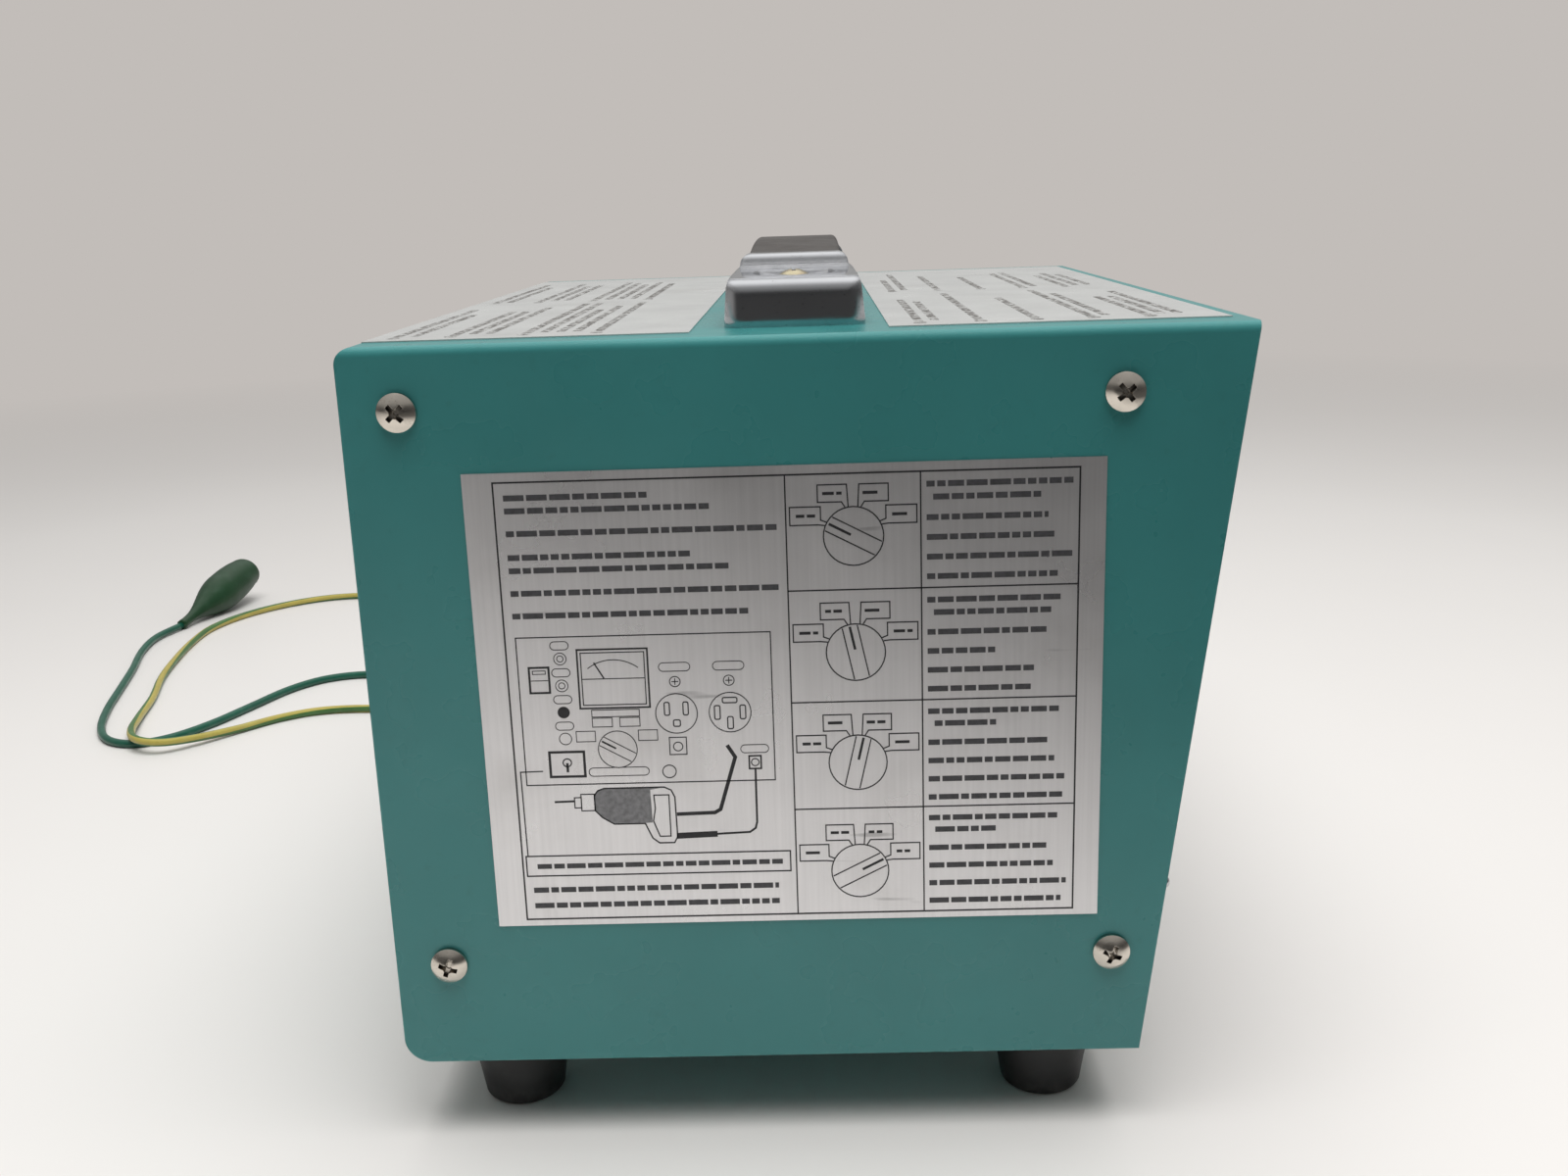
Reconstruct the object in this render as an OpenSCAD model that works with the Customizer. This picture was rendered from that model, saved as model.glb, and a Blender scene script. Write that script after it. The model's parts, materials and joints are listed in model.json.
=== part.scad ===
// Portable power tool tester: a hooded sheet steel case on rubber feet, with a strap handle,
// a vertical instrument panel under the hood and two earth leads with booted clips.
// Front is -Y, the operator's right is +X, and the floor is z = 0.

/* [Case] */
// Width of the case
case_w = 270; // [225:1:330]
// Height of the case without its feet
case_h = 178; // [172:1:215]
// Depth of the top of the case, hood included
top_d = 205; // [200:1:250]
// How far the hood overhangs the bottom of the front edge
hood_d = 22; // [14:1:30]
// Thickness of the cover and chassis sheet
sheet_t = 1.2; // [0.8:0.1:2]
// Outer radius of the fold between the top and a side
fold_r = 2.2; // [1.6:0.1:4]
// Radius of the lower rear corner of each side
corner_r = 6.5; // [4:0.5:10]
// Radius of the fold between the top and the rear flap
rear_fold_r = 4; // [2.5:0.5:6]
// Height of the cover's flap over the rear wall
flap_h = 20; // [14:1:30]
// Gap of the open seam at each rear corner
seam_gap = 0.9; // [0.5:0.1:2]

/* [Feet] */
// Height of a rubber foot
foot_h = 21; // [14:1:28]
// Diameter of a foot where it meets the case
foot_top_d = 28; // [22:0.5:34]
// Diameter of a foot at the floor
foot_bottom_d = 21; // [16:0.5:26]
// Distance of a foot's centre from the side of the case
foot_side_inset = 22.5; // [18:0.5:40]
// Distance of a rear foot's centre from the rear of the case
foot_rear_inset = 24.5; // [18:0.5:40]
// Distance of a front foot's centre from the lower front edge
foot_front_inset = 21; // [18:0.5:40]

/* [Side screws] */
// Diameter of a side screw's head
side_head_d = 9; // [7:0.1:11]
// Height of a side screw's head
side_head_h = 2.9; // [2:0.1:4]
// Diameter of a side screw's thread
side_thread_d = 5; // [4:0.1:6]
// Distance of the rear screws from the rear of the case
screw_rear_inset = 13.2; // [11:0.1:18]
// Distance of the front screws behind the lower front edge
screw_front_inset = 7.6; // [6.5:0.1:12]
// Distance of the upper screws from the top of the case
screw_top_inset = 14.6; // [11:0.1:20]
// Distance of the lower screws from the bottom of the case
screw_bottom_inset = 27; // [20:0.5:35]

/* [Labels] */
// Length of the instruction label on the left side
side_label_l = 145.5; // [100:0.5:170]
// Height of the instruction label on the left side
side_label_h = 112; // [80:0.5:125]
// Distance of that label from the rear of the case
side_label_rear = 26.3; // [22:0.1:32]
// Distance of that label from the top of the case
side_label_top = 29; // [24:0.5:36]
// Length of the labels on the top
top_label_l = 248; // [160:1:255]
// Depth of the rear label on the top
top_label_rear_w = 75; // [50:0.5:78]
// Depth of the front label on the top
top_label_front_w = 77.5; // [50:0.5:78]
// Distance of each top label from the rear or front edge
top_label_edge = 3.5; // [2:0.5:8]
// Thickness of a label
label_t = 0.3; // [0.2:0.1:0.5]

/* [Handle] */
// Length over both end caps
handle_l = 228; // [200:1:260]
// Length of one end cap
cap_l = 38; // [32:1:44]
// Width of an end cap at the case
cap_w = 33.4; // [30:0.1:38]
// Width of an end cap at its top
cap_top_w = 31; // [27:0.1:36]
// Height of an end cap at its outer end
cap_front_h = 11; // [10:0.5:13]
// Height of an end cap at its inner end
cap_rear_h = 13; // [13:0.5:16]
// Radius of an end cap's outer corners, seen from above
cap_corner_r = 4; // [3:0.5:6]
// Wall of an end cap
cap_t = 1.2; // [0.8:0.1:1.6]
// Width of the strap
strap_w = 24.4; // [20:0.1:27]
// Thickness of the strap
strap_t = 6; // [5:0.1:7]
// Height of the strap's top above the case
strap_top_h = 17.6; // [17:0.1:20]

/* [Panel] */
// Thickness of the front panel
panel_t = 1.5; // [1.2:0.1:2.5]
// How far the panel's face lies behind the lower front edge
panel_inset = 1; // [0.5:0.1:2]
// Depth of the panel's folded flanges
panel_flange = 15; // [13:0.5:20]

/* [Meter] */
// Width of the meter
meter_w = 75; // [60:1:85]
// Height of the meter
meter_h = 69; // [56:1:76]
// Depth of the meter in front of the panel
meter_d = 12; // [10:0.5:16]
// Diameter of the meter's barrel behind the panel
meter_barrel_d = 52; // [40:1:55]
// Length of the needle from its pivot
needle_l = 33; // [26:0.5:38]

/* [Controls] */
// Width of the power switch frame
rocker_w = 22; // [18:0.5:26]
// Height of the power switch frame
rocker_h = 30; // [26:0.5:34]
// Diameter of a push button
button_d = 12; // [9:0.1:13]
// How far a push button travels
button_travel = 3; // [1:0.1:4]
// Diameter of the selector knob's skirt
knob_d = 42; // [34:0.5:46]
// Width of the knob's grip bar
knob_bar_w = 11; // [8:0.5:14]
// Height of the knob with its grip bar
knob_h = 19; // [15:0.5:22]
// Diameter of the selector's shaft
shaft_d = 6; // [4:0.1:6.4]
// Length of the toggle lever from its pivot
lever_l = 17; // [13:0.5:20]

/* [Outlets] */
// Diameter of an outlet's face
outlet_d = 47; // [42:0.5:48]
// How far an outlet's face stands out of the panel
outlet_h = 4; // [3:0.5:6]
// Depth of an outlet's slots
slot_depth = 17; // [12:0.5:20]

/* [Earth post] */
// Diameter of the earth post's cap
post_d = 14; // [12:0.5:18]
// Length of the earth post's cap
post_l = 15; // [13:0.5:20]
// Diameter of the plug socket in the end of the earth post
post_bore_d = 4; // [4:0.1:4.2]
// Depth of that socket
post_bore_l = 11; // [8:0.5:12]

/* [Leads] */
// Outer diameter of a lead
lead_d = 3.6; // [3:0.1:3.8]
// Length of a clip's boot
boot_l = 70; // [66:1:80]
// Largest diameter of a clip's boot
boot_d = 22; // [21:0.5:26]

/* [Hidden] */

$fn = 48;
eps = 0.01;
fit = 0.05;
teal = [0.24, 0.62, 0.60];

// Case planes
z_bot = foot_h;
z_top = foot_h + case_h;
y_rear = top_d / 2;
y_hood = -top_d / 2;
y_low = y_hood + hood_d;
x_side = case_w / 2;
x_in = x_side - sheet_t;
panel_y = y_low + panel_inset;
wall_y = y_rear - sheet_t;

// Screws in the sides
side_screw_y = [y_rear - screw_rear_inset, y_low + screw_front_inset];
side_screw_z = [z_bot + screw_bottom_inset, z_top - screw_top_inset];
foot_x = x_side - foot_side_inset;
foot_y = [y_rear - foot_rear_inset, y_low + foot_front_inset];

// Places on the panel, measured from its upper left corner
panel_w = 2 * x_in;
panel_top = z_top - sheet_t;
panel_bot = z_bot + sheet_t;
panel_h = panel_top - panel_bot;
function px(share) = -x_in + share * panel_w;
function pz(share) = panel_top - share * panel_h;
rocker_x = px(0.082);
rocker_z = pz(0.285);
column_x = px(0.169);
ok_z = pz(0.145);
ng_z = pz(0.325);
start_z = pz(0.505);
test_z = pz(0.685);
toggle_z = pz(0.86);
meter_x = px(0.375);
meter_z = pz(0.285);
knob_z = pz(0.765);
two_pole_x = px(0.617);
three_pole_x = px(0.83);
outlet_z = pz(0.53);
outlet_screw_z = pz(0.315);
tab_z = pz(0.755);
fuse_x = px(0.577);
fuse_z = pz(0.925);
post_x = px(0.922);
post_z = pz(0.875);

// Battery holder and its door
cell_d = 25.8;
cell_l = 49;
cell_pitch = 27.6;
holder_w = 106;
holder_d = 30;
holder_h = 3 * cell_pitch + 3;
holder_z = z_bot + corner_r + 1;
door_z = holder_z + holder_h / 2;
door_open_w = holder_w - 4;
door_open_h = holder_h - 3.6;
door_w = door_open_w + 26;
door_h = door_open_h + 8;
door_t = sheet_t;
door_screw_x = door_open_w / 2 + 8;

// Handle
cap_x = handle_l / 2;
cap_inner_x = cap_x - cap_l;
handle_screw_x = cap_x - 15;
ridge_w = 27;
ridge_l = 9;
ridge_h = cap_rear_h + 2.8;
cap_slope = (cap_rear_h - cap_front_h) / cap_l;
cap_roof = cap_front_h + cap_slope * (cap_x - handle_screw_x);
recess_l = 11;
recess_w = 20;
recess_h = 1.4;
cap_seat_z = z_top + cap_roof - recess_h;
handle_head_d = 7.6;
strap_sag = 3.4;
strap_floor = strap_top_h - strap_sag - strap_t - 0.25;

// Rounded rectangle centred on the origin, with true arcs
module rounded_rect(w, h, r) {
    square([w - 2 * r, h], center = true);
    square([w, h - 2 * r], center = true);
    for (sx = [-1, 1], sy = [-1, 1])
        translate([sx * (w / 2 - r), sy * (h / 2 - r)]) circle(r);
}

module rounded_plate(w, h, t, r) {
    linear_extrude(t) rounded_rect(w, h, r);
}

// Stands children on the panel at x and z, with their own z axis towards the operator
module on_panel(x, z) {
    translate([x, panel_y, z]) rotate([90, 0, 0]) children();
}

// Stands children on the left side (-1) or the right side (1), pointing outwards
module on_side(s, y, z) {
    translate([s * x_side, y, z]) rotate([0, 90 * s, 0]) children();
}

// Pan head screw whose head sits on z = 0, with its shank below
module pan_screw(head_d, head_h, thread_d, length) {
    crown_r = head_d * 0.72;
    difference() {
        union() {
            intersection() {
                cylinder(d = head_d, h = head_h);
                translate([0, 0, head_h - crown_r]) sphere(crown_r, $fn = 64);
            }
            translate([0, 0, -length]) cylinder(d = thread_d, h = length + eps);
        }
        for (a = [0, 90]) rotate([0, 0, a])
            translate([-head_d * 0.26, -head_d * 0.065, head_h * 0.45])
                cube([head_d * 0.52, head_d * 0.13, head_h]);
        translate([0, 0, head_h * 0.35]) cylinder(d1 = head_d * 0.12, d2 = head_d * 0.34, h = head_h);
    }
}

module hex_nut(across, h, bore) {
    difference() {
        cylinder(d = across / cos(30), h = h, $fn = 6);
        translate([0, 0, -1]) cylinder(d = bore, h = h + 2);
    }
}

// Side outline of the case in the Y-Z plane, its rear and top drawn in by inset
module side_outline(inset, front, low) {
    rb = corner_r - inset;
    rt = rear_fold_r - inset;
    difference() {
        polygon([[y_hood - front, z_top - inset], [y_low - front, z_bot - low],
                 [y_rear - inset, z_bot - low], [y_rear - inset, z_top - inset]]);
        if (low == 0) difference() {
            translate([y_rear - rb, z_bot - 1]) square([rb + 1, rb + 1]);
            translate([y_rear - rb, z_bot + rb]) circle(rb);
        }
        difference() {
            translate([y_rear - inset - rt, z_top - inset - rt]) square([rt + 1, rt + 1]);
            translate([y_rear - inset - rt, z_top - inset - rt]) circle(rt);
        }
    }
}

// Front outline of the case in the X-Z plane, with folded upper corners
module front_outline(inset, low) {
    r = fold_r - inset;
    w = x_side - inset;
    difference() {
        translate([-w, z_bot - low]) square([2 * w, case_h - inset + low]);
        for (s = [-1, 1]) difference() {
            translate([s * (w - r / 2 + 0.5), z_top - inset - r / 2 + 0.5])
                square([r + 1, r + 1], center = true);
            translate([s * (w - r), z_top - inset - r]) circle(r);
        }
    }
}

// Solid with the side outline across the case and the front outline along it
module case_solid(inset, front, low) {
    intersection() {
        rotate([90, 0, 90]) linear_extrude(case_w + 2, center = true)
            side_outline(inset, front, low);
        translate([0, top_d, 0]) rotate([90, 0, 0]) linear_extrude(2 * top_d)
            front_outline(inset, low);
    }
}

module side_holes(d) {
    for (s = [-1, 1], y = side_screw_y, z = side_screw_z)
        on_side(s, y, z) translate([0, 0, -12]) cylinder(d = d, h = 24);
}

module cover() {
    color(teal) difference() {
        case_solid(0, 0, 0);
        case_solid(sheet_t, 40, 5);
        translate([-x_in, wall_y - 1, z_bot - 1]) cube([2 * x_in, 10, case_h - flap_h + 1]);
        for (s = [-1, 1])
            translate([s * (x_in - seam_gap / 2) - seam_gap / 2, wall_y - rear_fold_r, z_bot])
                cube([seam_gap, 20, case_h - rear_fold_r]);
        side_holes(side_thread_d + 0.4);
        for (s = [-1, 1]) translate([s * handle_screw_x, 0, z_top - 5]) cylinder(d = 4.6, h = 10);
    }
}

// Bottom plate and rear wall bent from one sheet, with side flanges
module chassis() {
    r = corner_r;
    flange_y = 22;
    color(teal) difference() {
        union() {
            translate([-x_in, panel_y, z_bot]) cube([2 * x_in, wall_y - r - panel_y, sheet_t]);
            translate([-x_in, wall_y - sheet_t, z_bot + r])
                cube([2 * x_in, sheet_t, case_h - r - rear_fold_r - 0.5]);
            translate([-x_in, wall_y - r, z_bot + r]) rotate([0, 90, 0]) intersection() {
                difference() {
                    cylinder(r = r, h = 2 * x_in);
                    translate([0, 0, -1]) cylinder(r = r - sheet_t, h = 2 * x_in + 2);
                }
                translate([0, 0, -1]) cube([r + 1, r + 1, 2 * x_in + 2]);
            }
            for (s = [-1, 1]) {
                translate([s * (x_in - sheet_t / 2) - sheet_t / 2, wall_y - flange_y, z_bot + r])
                    cube([sheet_t, flange_y, case_h - r - 8]);
                translate([s * (x_in - sheet_t / 2) - sheet_t / 2, panel_y + panel_flange + 4,
                           z_bot]) cube([sheet_t, wall_y - r - panel_y - panel_flange - 4, 14]);
            }
        }
        side_holes(side_thread_d + 0.4);
        for (x = [-foot_x, foot_x], y = foot_y) translate([x, y, z_bot - 1]) cylinder(d = 4.4, h = 4);
        translate([0, wall_y, door_z]) rotate([90, 0, 0]) translate([0, 0, -2])
            rounded_plate(door_open_w, door_open_h, 6, 4);
        for (s = [-1, 1]) translate([s * door_screw_x, wall_y + 2, door_z]) rotate([90, 0, 0])
            cylinder(d = 3.4, h = 8);
    }
}

// Battery door, flush under the flap of the cover
module battery_door() {
    color(teal) difference() {
        translate([0, wall_y + door_t, door_z]) rotate([90, 0, 0])
            rounded_plate(door_w, door_h, door_t, 5);
        for (s = [-1, 1]) translate([s * door_screw_x, wall_y + door_t, door_z]) rotate([90, 0, 0])
            translate([0, 0, -eps]) cylinder(d1 = 6.2, d2 = 3.4, h = door_t + 2 * eps);
    }
}

module door_screws() {
    color("silver") for (s = [-1, 1])
        translate([s * door_screw_x, wall_y + door_t, door_z]) rotate([90, 0, 0]) difference() {
            union() {
                cylinder(d1 = 6, d2 = 3.2, h = door_t);
                cylinder(d = 3, h = 8);
            }
            for (a = [0, 90]) rotate([0, 0, a]) translate([-1.5, -0.35, -1]) cube([3, 0.7, 1.8]);
        }
}

// Panel plate with side and bottom flanges folded back into the case
module front_panel() {
    color("gainsboro") difference() {
        union() {
            difference() {
                translate([-x_in, panel_y, panel_bot]) cube([2 * x_in, panel_t, panel_h - 0.2]);
                for (s = [-1, 1]) translate([s * x_in, panel_y - 1, panel_top])
                    rotate([0, 45, 0]) cube([2.4, 20, 2.4], center = true);
            }
            for (s = [-1, 1])
                translate([s * (x_in - panel_t / 2) - panel_t / 2, panel_y, panel_bot])
                    cube([panel_t, panel_flange, panel_h - 4]);
            translate([-x_in, panel_y, panel_bot]) cube([2 * x_in, panel_flange, panel_t]);
        }
        side_holes(side_thread_d + 0.4);
        on_panel(meter_x, meter_z) translate([0, 0, -10]) cylinder(d = meter_barrel_d + 0.6, h = 20);
        on_panel(rocker_x, rocker_z) translate([0, 0, -10])
            rounded_plate(rocker_w - 3, rocker_h - 3, 20, 1);
        for (z = [ok_z, ng_z]) on_panel(column_x, z) translate([0, 0, -10])
            cylinder(d = lamp_barrel_d, h = 20);
        for (z = [start_z, test_z]) on_panel(column_x, z) translate([0, 0, -10])
            cylinder(d = button_barrel_d, h = 20);
        on_panel(column_x, toggle_z) translate([0, 0, -10]) cylinder(d = toggle_bush_d, h = 20);
        on_panel(meter_x, knob_z) translate([0, 0, -10]) cylinder(d = selector_bush_d, h = 20);
        for (x = [two_pole_x, three_pole_x]) on_panel(x, outlet_z) translate([0, 0, -10])
            cylinder(d = outlet_d - 8, h = 20);
        for (x = [two_pole_x, three_pole_x]) on_panel(x, outlet_screw_z) translate([0, 0, -10])
            cylinder(d = panel_screw_thread, h = 20);
        on_panel(two_pole_x, tab_z) translate([0, 0, -10]) cylinder(d = panel_screw_thread, h = 20);
        on_panel(fuse_x, fuse_z) translate([0, 0, -10]) cylinder(d = fuse_barrel_d, h = 20);
        on_panel(post_x, post_z) translate([0, 0, -10]) cylinder(d = post_sleeve_d, h = 20);
    }
}

module cover_screws() {
    color("silver") for (s = [-1, 1], y = side_screw_y, z = side_screw_z)
        on_side(s, y, z) rotate([0, 0, 20 * y + 13 * z])
            pan_screw(side_head_d, side_head_h, side_thread_d, 11);
}

// Nuts behind the case screws, and those that hold the selector and the toggle to the panel
side_nut_h = 4;
small_nut_h = 3.2;
small_thread_d = 4;

module hex_nuts() {
    color("silver") {
        for (s = [-1, 1], z = side_screw_z) {
            on_side(s, side_screw_y[0], z) translate([0, 0, -2 * sheet_t - side_nut_h])
                hex_nut(side_thread_d + 3, side_nut_h, side_thread_d);
            on_side(s, side_screw_y[1], z) translate([0, 0, -sheet_t - panel_t - side_nut_h])
                hex_nut(side_thread_d + 3, side_nut_h, side_thread_d);
        }
        for (x = [-foot_x, foot_x], y = foot_y) translate([x, y, z_bot + sheet_t])
            hex_nut(7, small_nut_h, small_thread_d);
        for (s = [-1, 1]) translate([s * handle_screw_x, 0, z_top - sheet_t - small_nut_h])
            hex_nut(7, small_nut_h, small_thread_d);
        on_panel(meter_x, knob_z) hex_nut(13, selector_nut_h, selector_bush_d);
        on_panel(column_x, toggle_z) translate([0, 0, toggle_plate_t])
            hex_nut(10, 2, toggle_bush_d);
    }
}

// Tapered foot, turned about its own axis, with a counterbore for its screw
foot_edge_r = 1.5;
foot_bore_d = 9;
foot_web = 6;
module rubber_foot() {
    rt = foot_top_d / 2;
    rb = foot_bottom_d / 2;
    rotate_extrude() difference() {
        union() {
            polygon([[0, foot_edge_r], [rb, foot_edge_r], [rt - 0.6, foot_h - 1.2],
                     [rt, foot_h - 1.2], [rt, foot_h], [0, foot_h]]);
            square([rb - foot_edge_r, foot_edge_r + eps]);
            translate([rb - foot_edge_r, foot_edge_r]) circle(foot_edge_r, $fn = 24);
        }
        translate([-1, -1]) square([foot_bore_d / 2 + 1, foot_h - foot_web + 1]);
        translate([-1, -1]) square([3.2, foot_h + 2]);
    }
}

module rubber_feet() {
    color([0.08, 0.08, 0.08]) for (x = [-foot_x, foot_x], y = foot_y)
        translate([x, y, 0]) rubber_foot();
}

module foot_screws() {
    color("silver") for (x = [-foot_x, foot_x], y = foot_y)
        translate([x, y, foot_h - foot_web]) rotate([180, 0, 0]) pan_screw(8, 2.6, 4, foot_web + 6);
}

module side_label() {
    color("lightgray") translate([-x_side - label_t, y_rear - side_label_rear - side_label_l,
                                  z_top - side_label_top - side_label_h])
        cube([label_t, side_label_l, side_label_h]);
}

// Labels in front of the handle and behind it
module top_labels() {
    color("whitesmoke") {
        translate([-top_label_l / 2, y_rear - top_label_edge - top_label_rear_w, z_top])
            cube([top_label_l, top_label_rear_w, label_t]);
        translate([-top_label_l / 2, y_hood + top_label_edge, z_top])
            cube([top_label_l, top_label_front_w, label_t]);
    }
}

// Side profile of an end cap, in X and Z above the case, drawn in by inset
module cap_profile(inset, low) {
    r = 3.2 - inset;
    difference() {
        polygon([[cap_x - inset, -low], [cap_x - inset, cap_front_h - inset],
                 [cap_inner_x + inset, cap_rear_h - inset - cap_slope * inset],
                 [cap_inner_x + inset, -low]]);
        difference() {
            translate([cap_x - inset - r, cap_front_h - inset - r]) square([r + 2, r + 2]);
            translate([cap_x - inset - r, cap_front_h - inset - r]) circle(r);
        }
    }
}

// End view of an end cap, in Y and Z above the case
module cap_section(inset, low) {
    r = 3.6 - inset;
    wb = cap_w / 2 - inset;
    wt = cap_top_w / 2 - inset;
    difference() {
        polygon([[-wb, -low], [wb, -low], [wt, cap_rear_h - inset], [-wt, cap_rear_h - inset]]);
        for (s = [-1, 1]) difference() {
            translate([s * (wt - r / 2 + 1), cap_rear_h - inset - r / 2 + 1])
                square([r + 2, r + 2], center = true);
            translate([s * (wt - r + 0.15), cap_rear_h - inset - r]) circle(r);
        }
    }
}

// Plan of an end cap, with round corners at its outer end
module cap_plan(inset) {
    r = cap_corner_r - inset;
    half_w = cap_w / 2 - inset;
    end_x = cap_x - inset;
    difference() {
        translate([cap_inner_x + inset, -half_w]) square([end_x - cap_inner_x - inset, 2 * half_w]);
        for (s = [-1, 1]) difference() {
            translate([end_x - r / 2 + 1, s * (half_w - r / 2 + 1)]) square(r + 2, center = true);
            translate([end_x - r, s * (half_w - r)]) circle(r);
        }
    }
}

module cap_solid(inset, low) {
    intersection() {
        translate([0, 40, 0]) rotate([90, 0, 0]) linear_extrude(80) cap_profile(inset, low);
        rotate([90, 0, 90]) linear_extrude(cap_x + 10) cap_section(inset, low);
        translate([0, 0, -low]) linear_extrude(cap_rear_h + 2) cap_plan(inset);
    }
}

// Raised bridge over the strap at the inner end of a cap
module cap_ridge(inset, w) {
    r = 2.6 - inset / 2;
    translate([cap_inner_x, 0, 0]) intersection() {
        translate([0, w / 2, 0]) rotate([90, 0, 0]) linear_extrude(w) {
            square([ridge_l - r, ridge_h - inset]);
            square([ridge_l + 3, ridge_h - inset - r]);
            translate([ridge_l - r, ridge_h - inset - r]) circle(r);
        }
        rotate([90, 0, 90]) linear_extrude(ridge_l + 3) {
            translate([-w / 2, 0]) square([w, ridge_h - inset - r]);
            translate([-w / 2 + r, 0]) square([w - 2 * r, ridge_h - inset]);
            for (s = [-1, 1]) translate([s * (w / 2 - r), ridge_h - inset - r]) circle(r);
        }
    }
}

// Pressed end cap for the +X end, open below, with a slot for the strap and a dished screw seat
module handle_cap() {
    dish_r = 40;
    translate([0, 0, z_top]) difference() {
        union() {
            difference() {
                union() {
                    cap_solid(0, 0);
                    cap_ridge(0, ridge_w);
                }
                cap_solid(cap_t, 1);
                intersection() {
                    translate([-1, 0, 0]) cap_ridge(cap_t, strap_w + 0.8);
                    translate([0, -strap_w, strap_floor]) cube([cap_x, 2 * strap_w, 20]);
                }
            }
            translate([handle_screw_x - recess_l / 2 - 1.5, -recess_w / 2 - 1.5,
                       cap_roof - cap_t - recess_h])
                cube([recess_l + 3, recess_w + 3, recess_h + 0.5]);
        }
        translate([handle_screw_x, 0, cap_roof - recess_h]) intersection() {
            translate([0, 0, dish_r]) rotate([0, 90, 0])
                cylinder(r = dish_r, h = recess_l, center = true, $fn = 96);
            cylinder(d = recess_w, h = 6);
        }
        translate([handle_screw_x, 0, cap_roof - recess_h]) cylinder(d = handle_head_d + 0.4, h = 6);
        translate([handle_screw_x, 0, 2]) cylinder(d = 4.4, h = 20);
    }
}

module handle_caps() {
    color("white") {
        handle_cap();
        mirror([1, 0, 0]) handle_cap();
    }
}

// Gently arched strap, with a channel for its steel core
strap_r = (pow(cap_inner_x, 2) + pow(strap_sag, 2)) / (2 * strap_sag);
strap_end_x = cap_inner_x + ridge_l - cap_t - 0.6;
core_w = 15;
core_t = 1;
core_depth = 4;
core_end_x = handle_screw_x + 8;

// Arched band of width w between two depths below the top of the strap
module arched_band(w, depth, t, end_x) {
    translate([0, w / 2, z_top + strap_top_h - strap_r]) rotate([90, 0, 0]) intersection() {
        difference() {
            cylinder(r = strap_r - depth, h = w, $fn = 720);
            translate([0, 0, -1]) cylinder(r = strap_r - depth - t, h = w + 2, $fn = 720);
        }
        translate([-end_x, strap_r - 40, -1]) cube([2 * end_x, 60, w + 2]);
    }
}

module handle_strap() {
    edge = 1.4;
    color("dimgray") difference() {
        union() {
            arched_band(strap_w, edge, strap_t - 2 * edge, strap_end_x);
            arched_band(strap_w - 2 * edge, 0, strap_t, strap_end_x);
            for (s = [-1, 1]) intersection() {
                translate([0, 0, z_top + strap_top_h - strap_r]) rotate([90, 0, 0])
                    rotate_extrude($fn = 720)
                        translate([strap_r - edge, s * (strap_w / 2 - edge)]) circle(edge, $fn = 24);
                translate([-strap_end_x, -strap_w, z_top]) cube([2 * strap_end_x, 2 * strap_w, 40]);
            }
        }
        arched_band(core_w, core_depth, core_t, strap_end_x + 5);
    }
}

module strap_core() {
    color("silver") difference() {
        arched_band(core_w, core_depth, core_t, core_end_x);
        for (s = [-1, 1]) translate([s * handle_screw_x, 0, z_top]) {
            translate([-4, -2.7, 0]) cube([8, 5.4, 20]);
            for (dx = [-4, 4]) translate([dx, 0, 0]) cylinder(d = 5.4, h = 20);
        }
    }
}

module handle_screws() {
    color("gold") for (s = [-1, 1]) translate([s * handle_screw_x, 0, cap_seat_z])
        pan_screw(handle_head_d, 2.2, 4, cap_seat_z - z_top + sheet_t + 4);
}

// Meter: a tray with a barrel behind, an apron over its lower half, a dial and a window
meter_wall = 2;
meter_border = 3.2;
meter_front_t = 2;
meter_back = 26;
meter_split = 1.5;
pivot_drop = 8;
dial_z = meter_d - 6.4;
dial_t = 0.8;
needle_z = dial_z + dial_t + 1;
pivot_d = 1.6;
zero_screw_y = -meter_h * 0.24;
zero_shank_d = 4;
needle_rest = 45;

module window_outline(grow) {
    translate([0, (meter_split + meter_h / 2 - meter_border) / 2])
        rounded_rect(meter_w - 2 * meter_border + grow,
                     meter_h / 2 - meter_border - meter_split + grow, 1.5);
}

module meter_housing() {
    color([0.1, 0.1, 0.1]) on_panel(meter_x, meter_z) {
        difference() {
            union() {
                rounded_plate(meter_w, meter_h, meter_d - 1, 3);
                rounded_plate(meter_w - 2, meter_h - 2, meter_d, 2.5);
                translate([0, 0, -meter_back]) cylinder(d = meter_barrel_d, h = meter_back + eps);
            }
            translate([0, 0, 1.6]) rounded_plate(meter_w - 2 * meter_wall, meter_h - 2 * meter_wall,
                                                 meter_d - 1.6 - meter_front_t, 2);
            translate([0, 0, -meter_back + 2])
                cylinder(d = meter_barrel_d - 2 * meter_wall, h = meter_back + 2);
            translate([0, 0, 2]) linear_extrude(meter_d) window_outline(0);
            translate([0, 0, meter_d - 1]) linear_extrude(3) window_outline(2.4);
            translate([0, zero_screw_y, 0]) cylinder(d = zero_shank_d + 2 * fit, h = meter_d + 1);
        }
        for (x = [-27, 27], y = [-12, 25]) translate([x, y, 1]) cylinder(d = 5, h = dial_z - 1);
    }
}

module meter_movement() {
    color("silver") on_panel(meter_x, meter_z) translate([0, -pivot_drop, -meter_back + 2]) {
        difference() {
            cylinder(d = 30, h = 17);
            translate([0, 0, 2]) cylinder(d = 22, h = 16);
        }
        translate([0, 0, 1]) cylinder(d = 14, h = 14);
        difference() {
            translate([-15, -3.5, 17 - eps]) cube([30, 7, 2]);
            translate([0, 0, 16]) cylinder(d = 4, h = 4);
        }
        cylinder(d = pivot_d, h = meter_back - 2 + needle_z + 2.4);
    }
}

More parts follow.
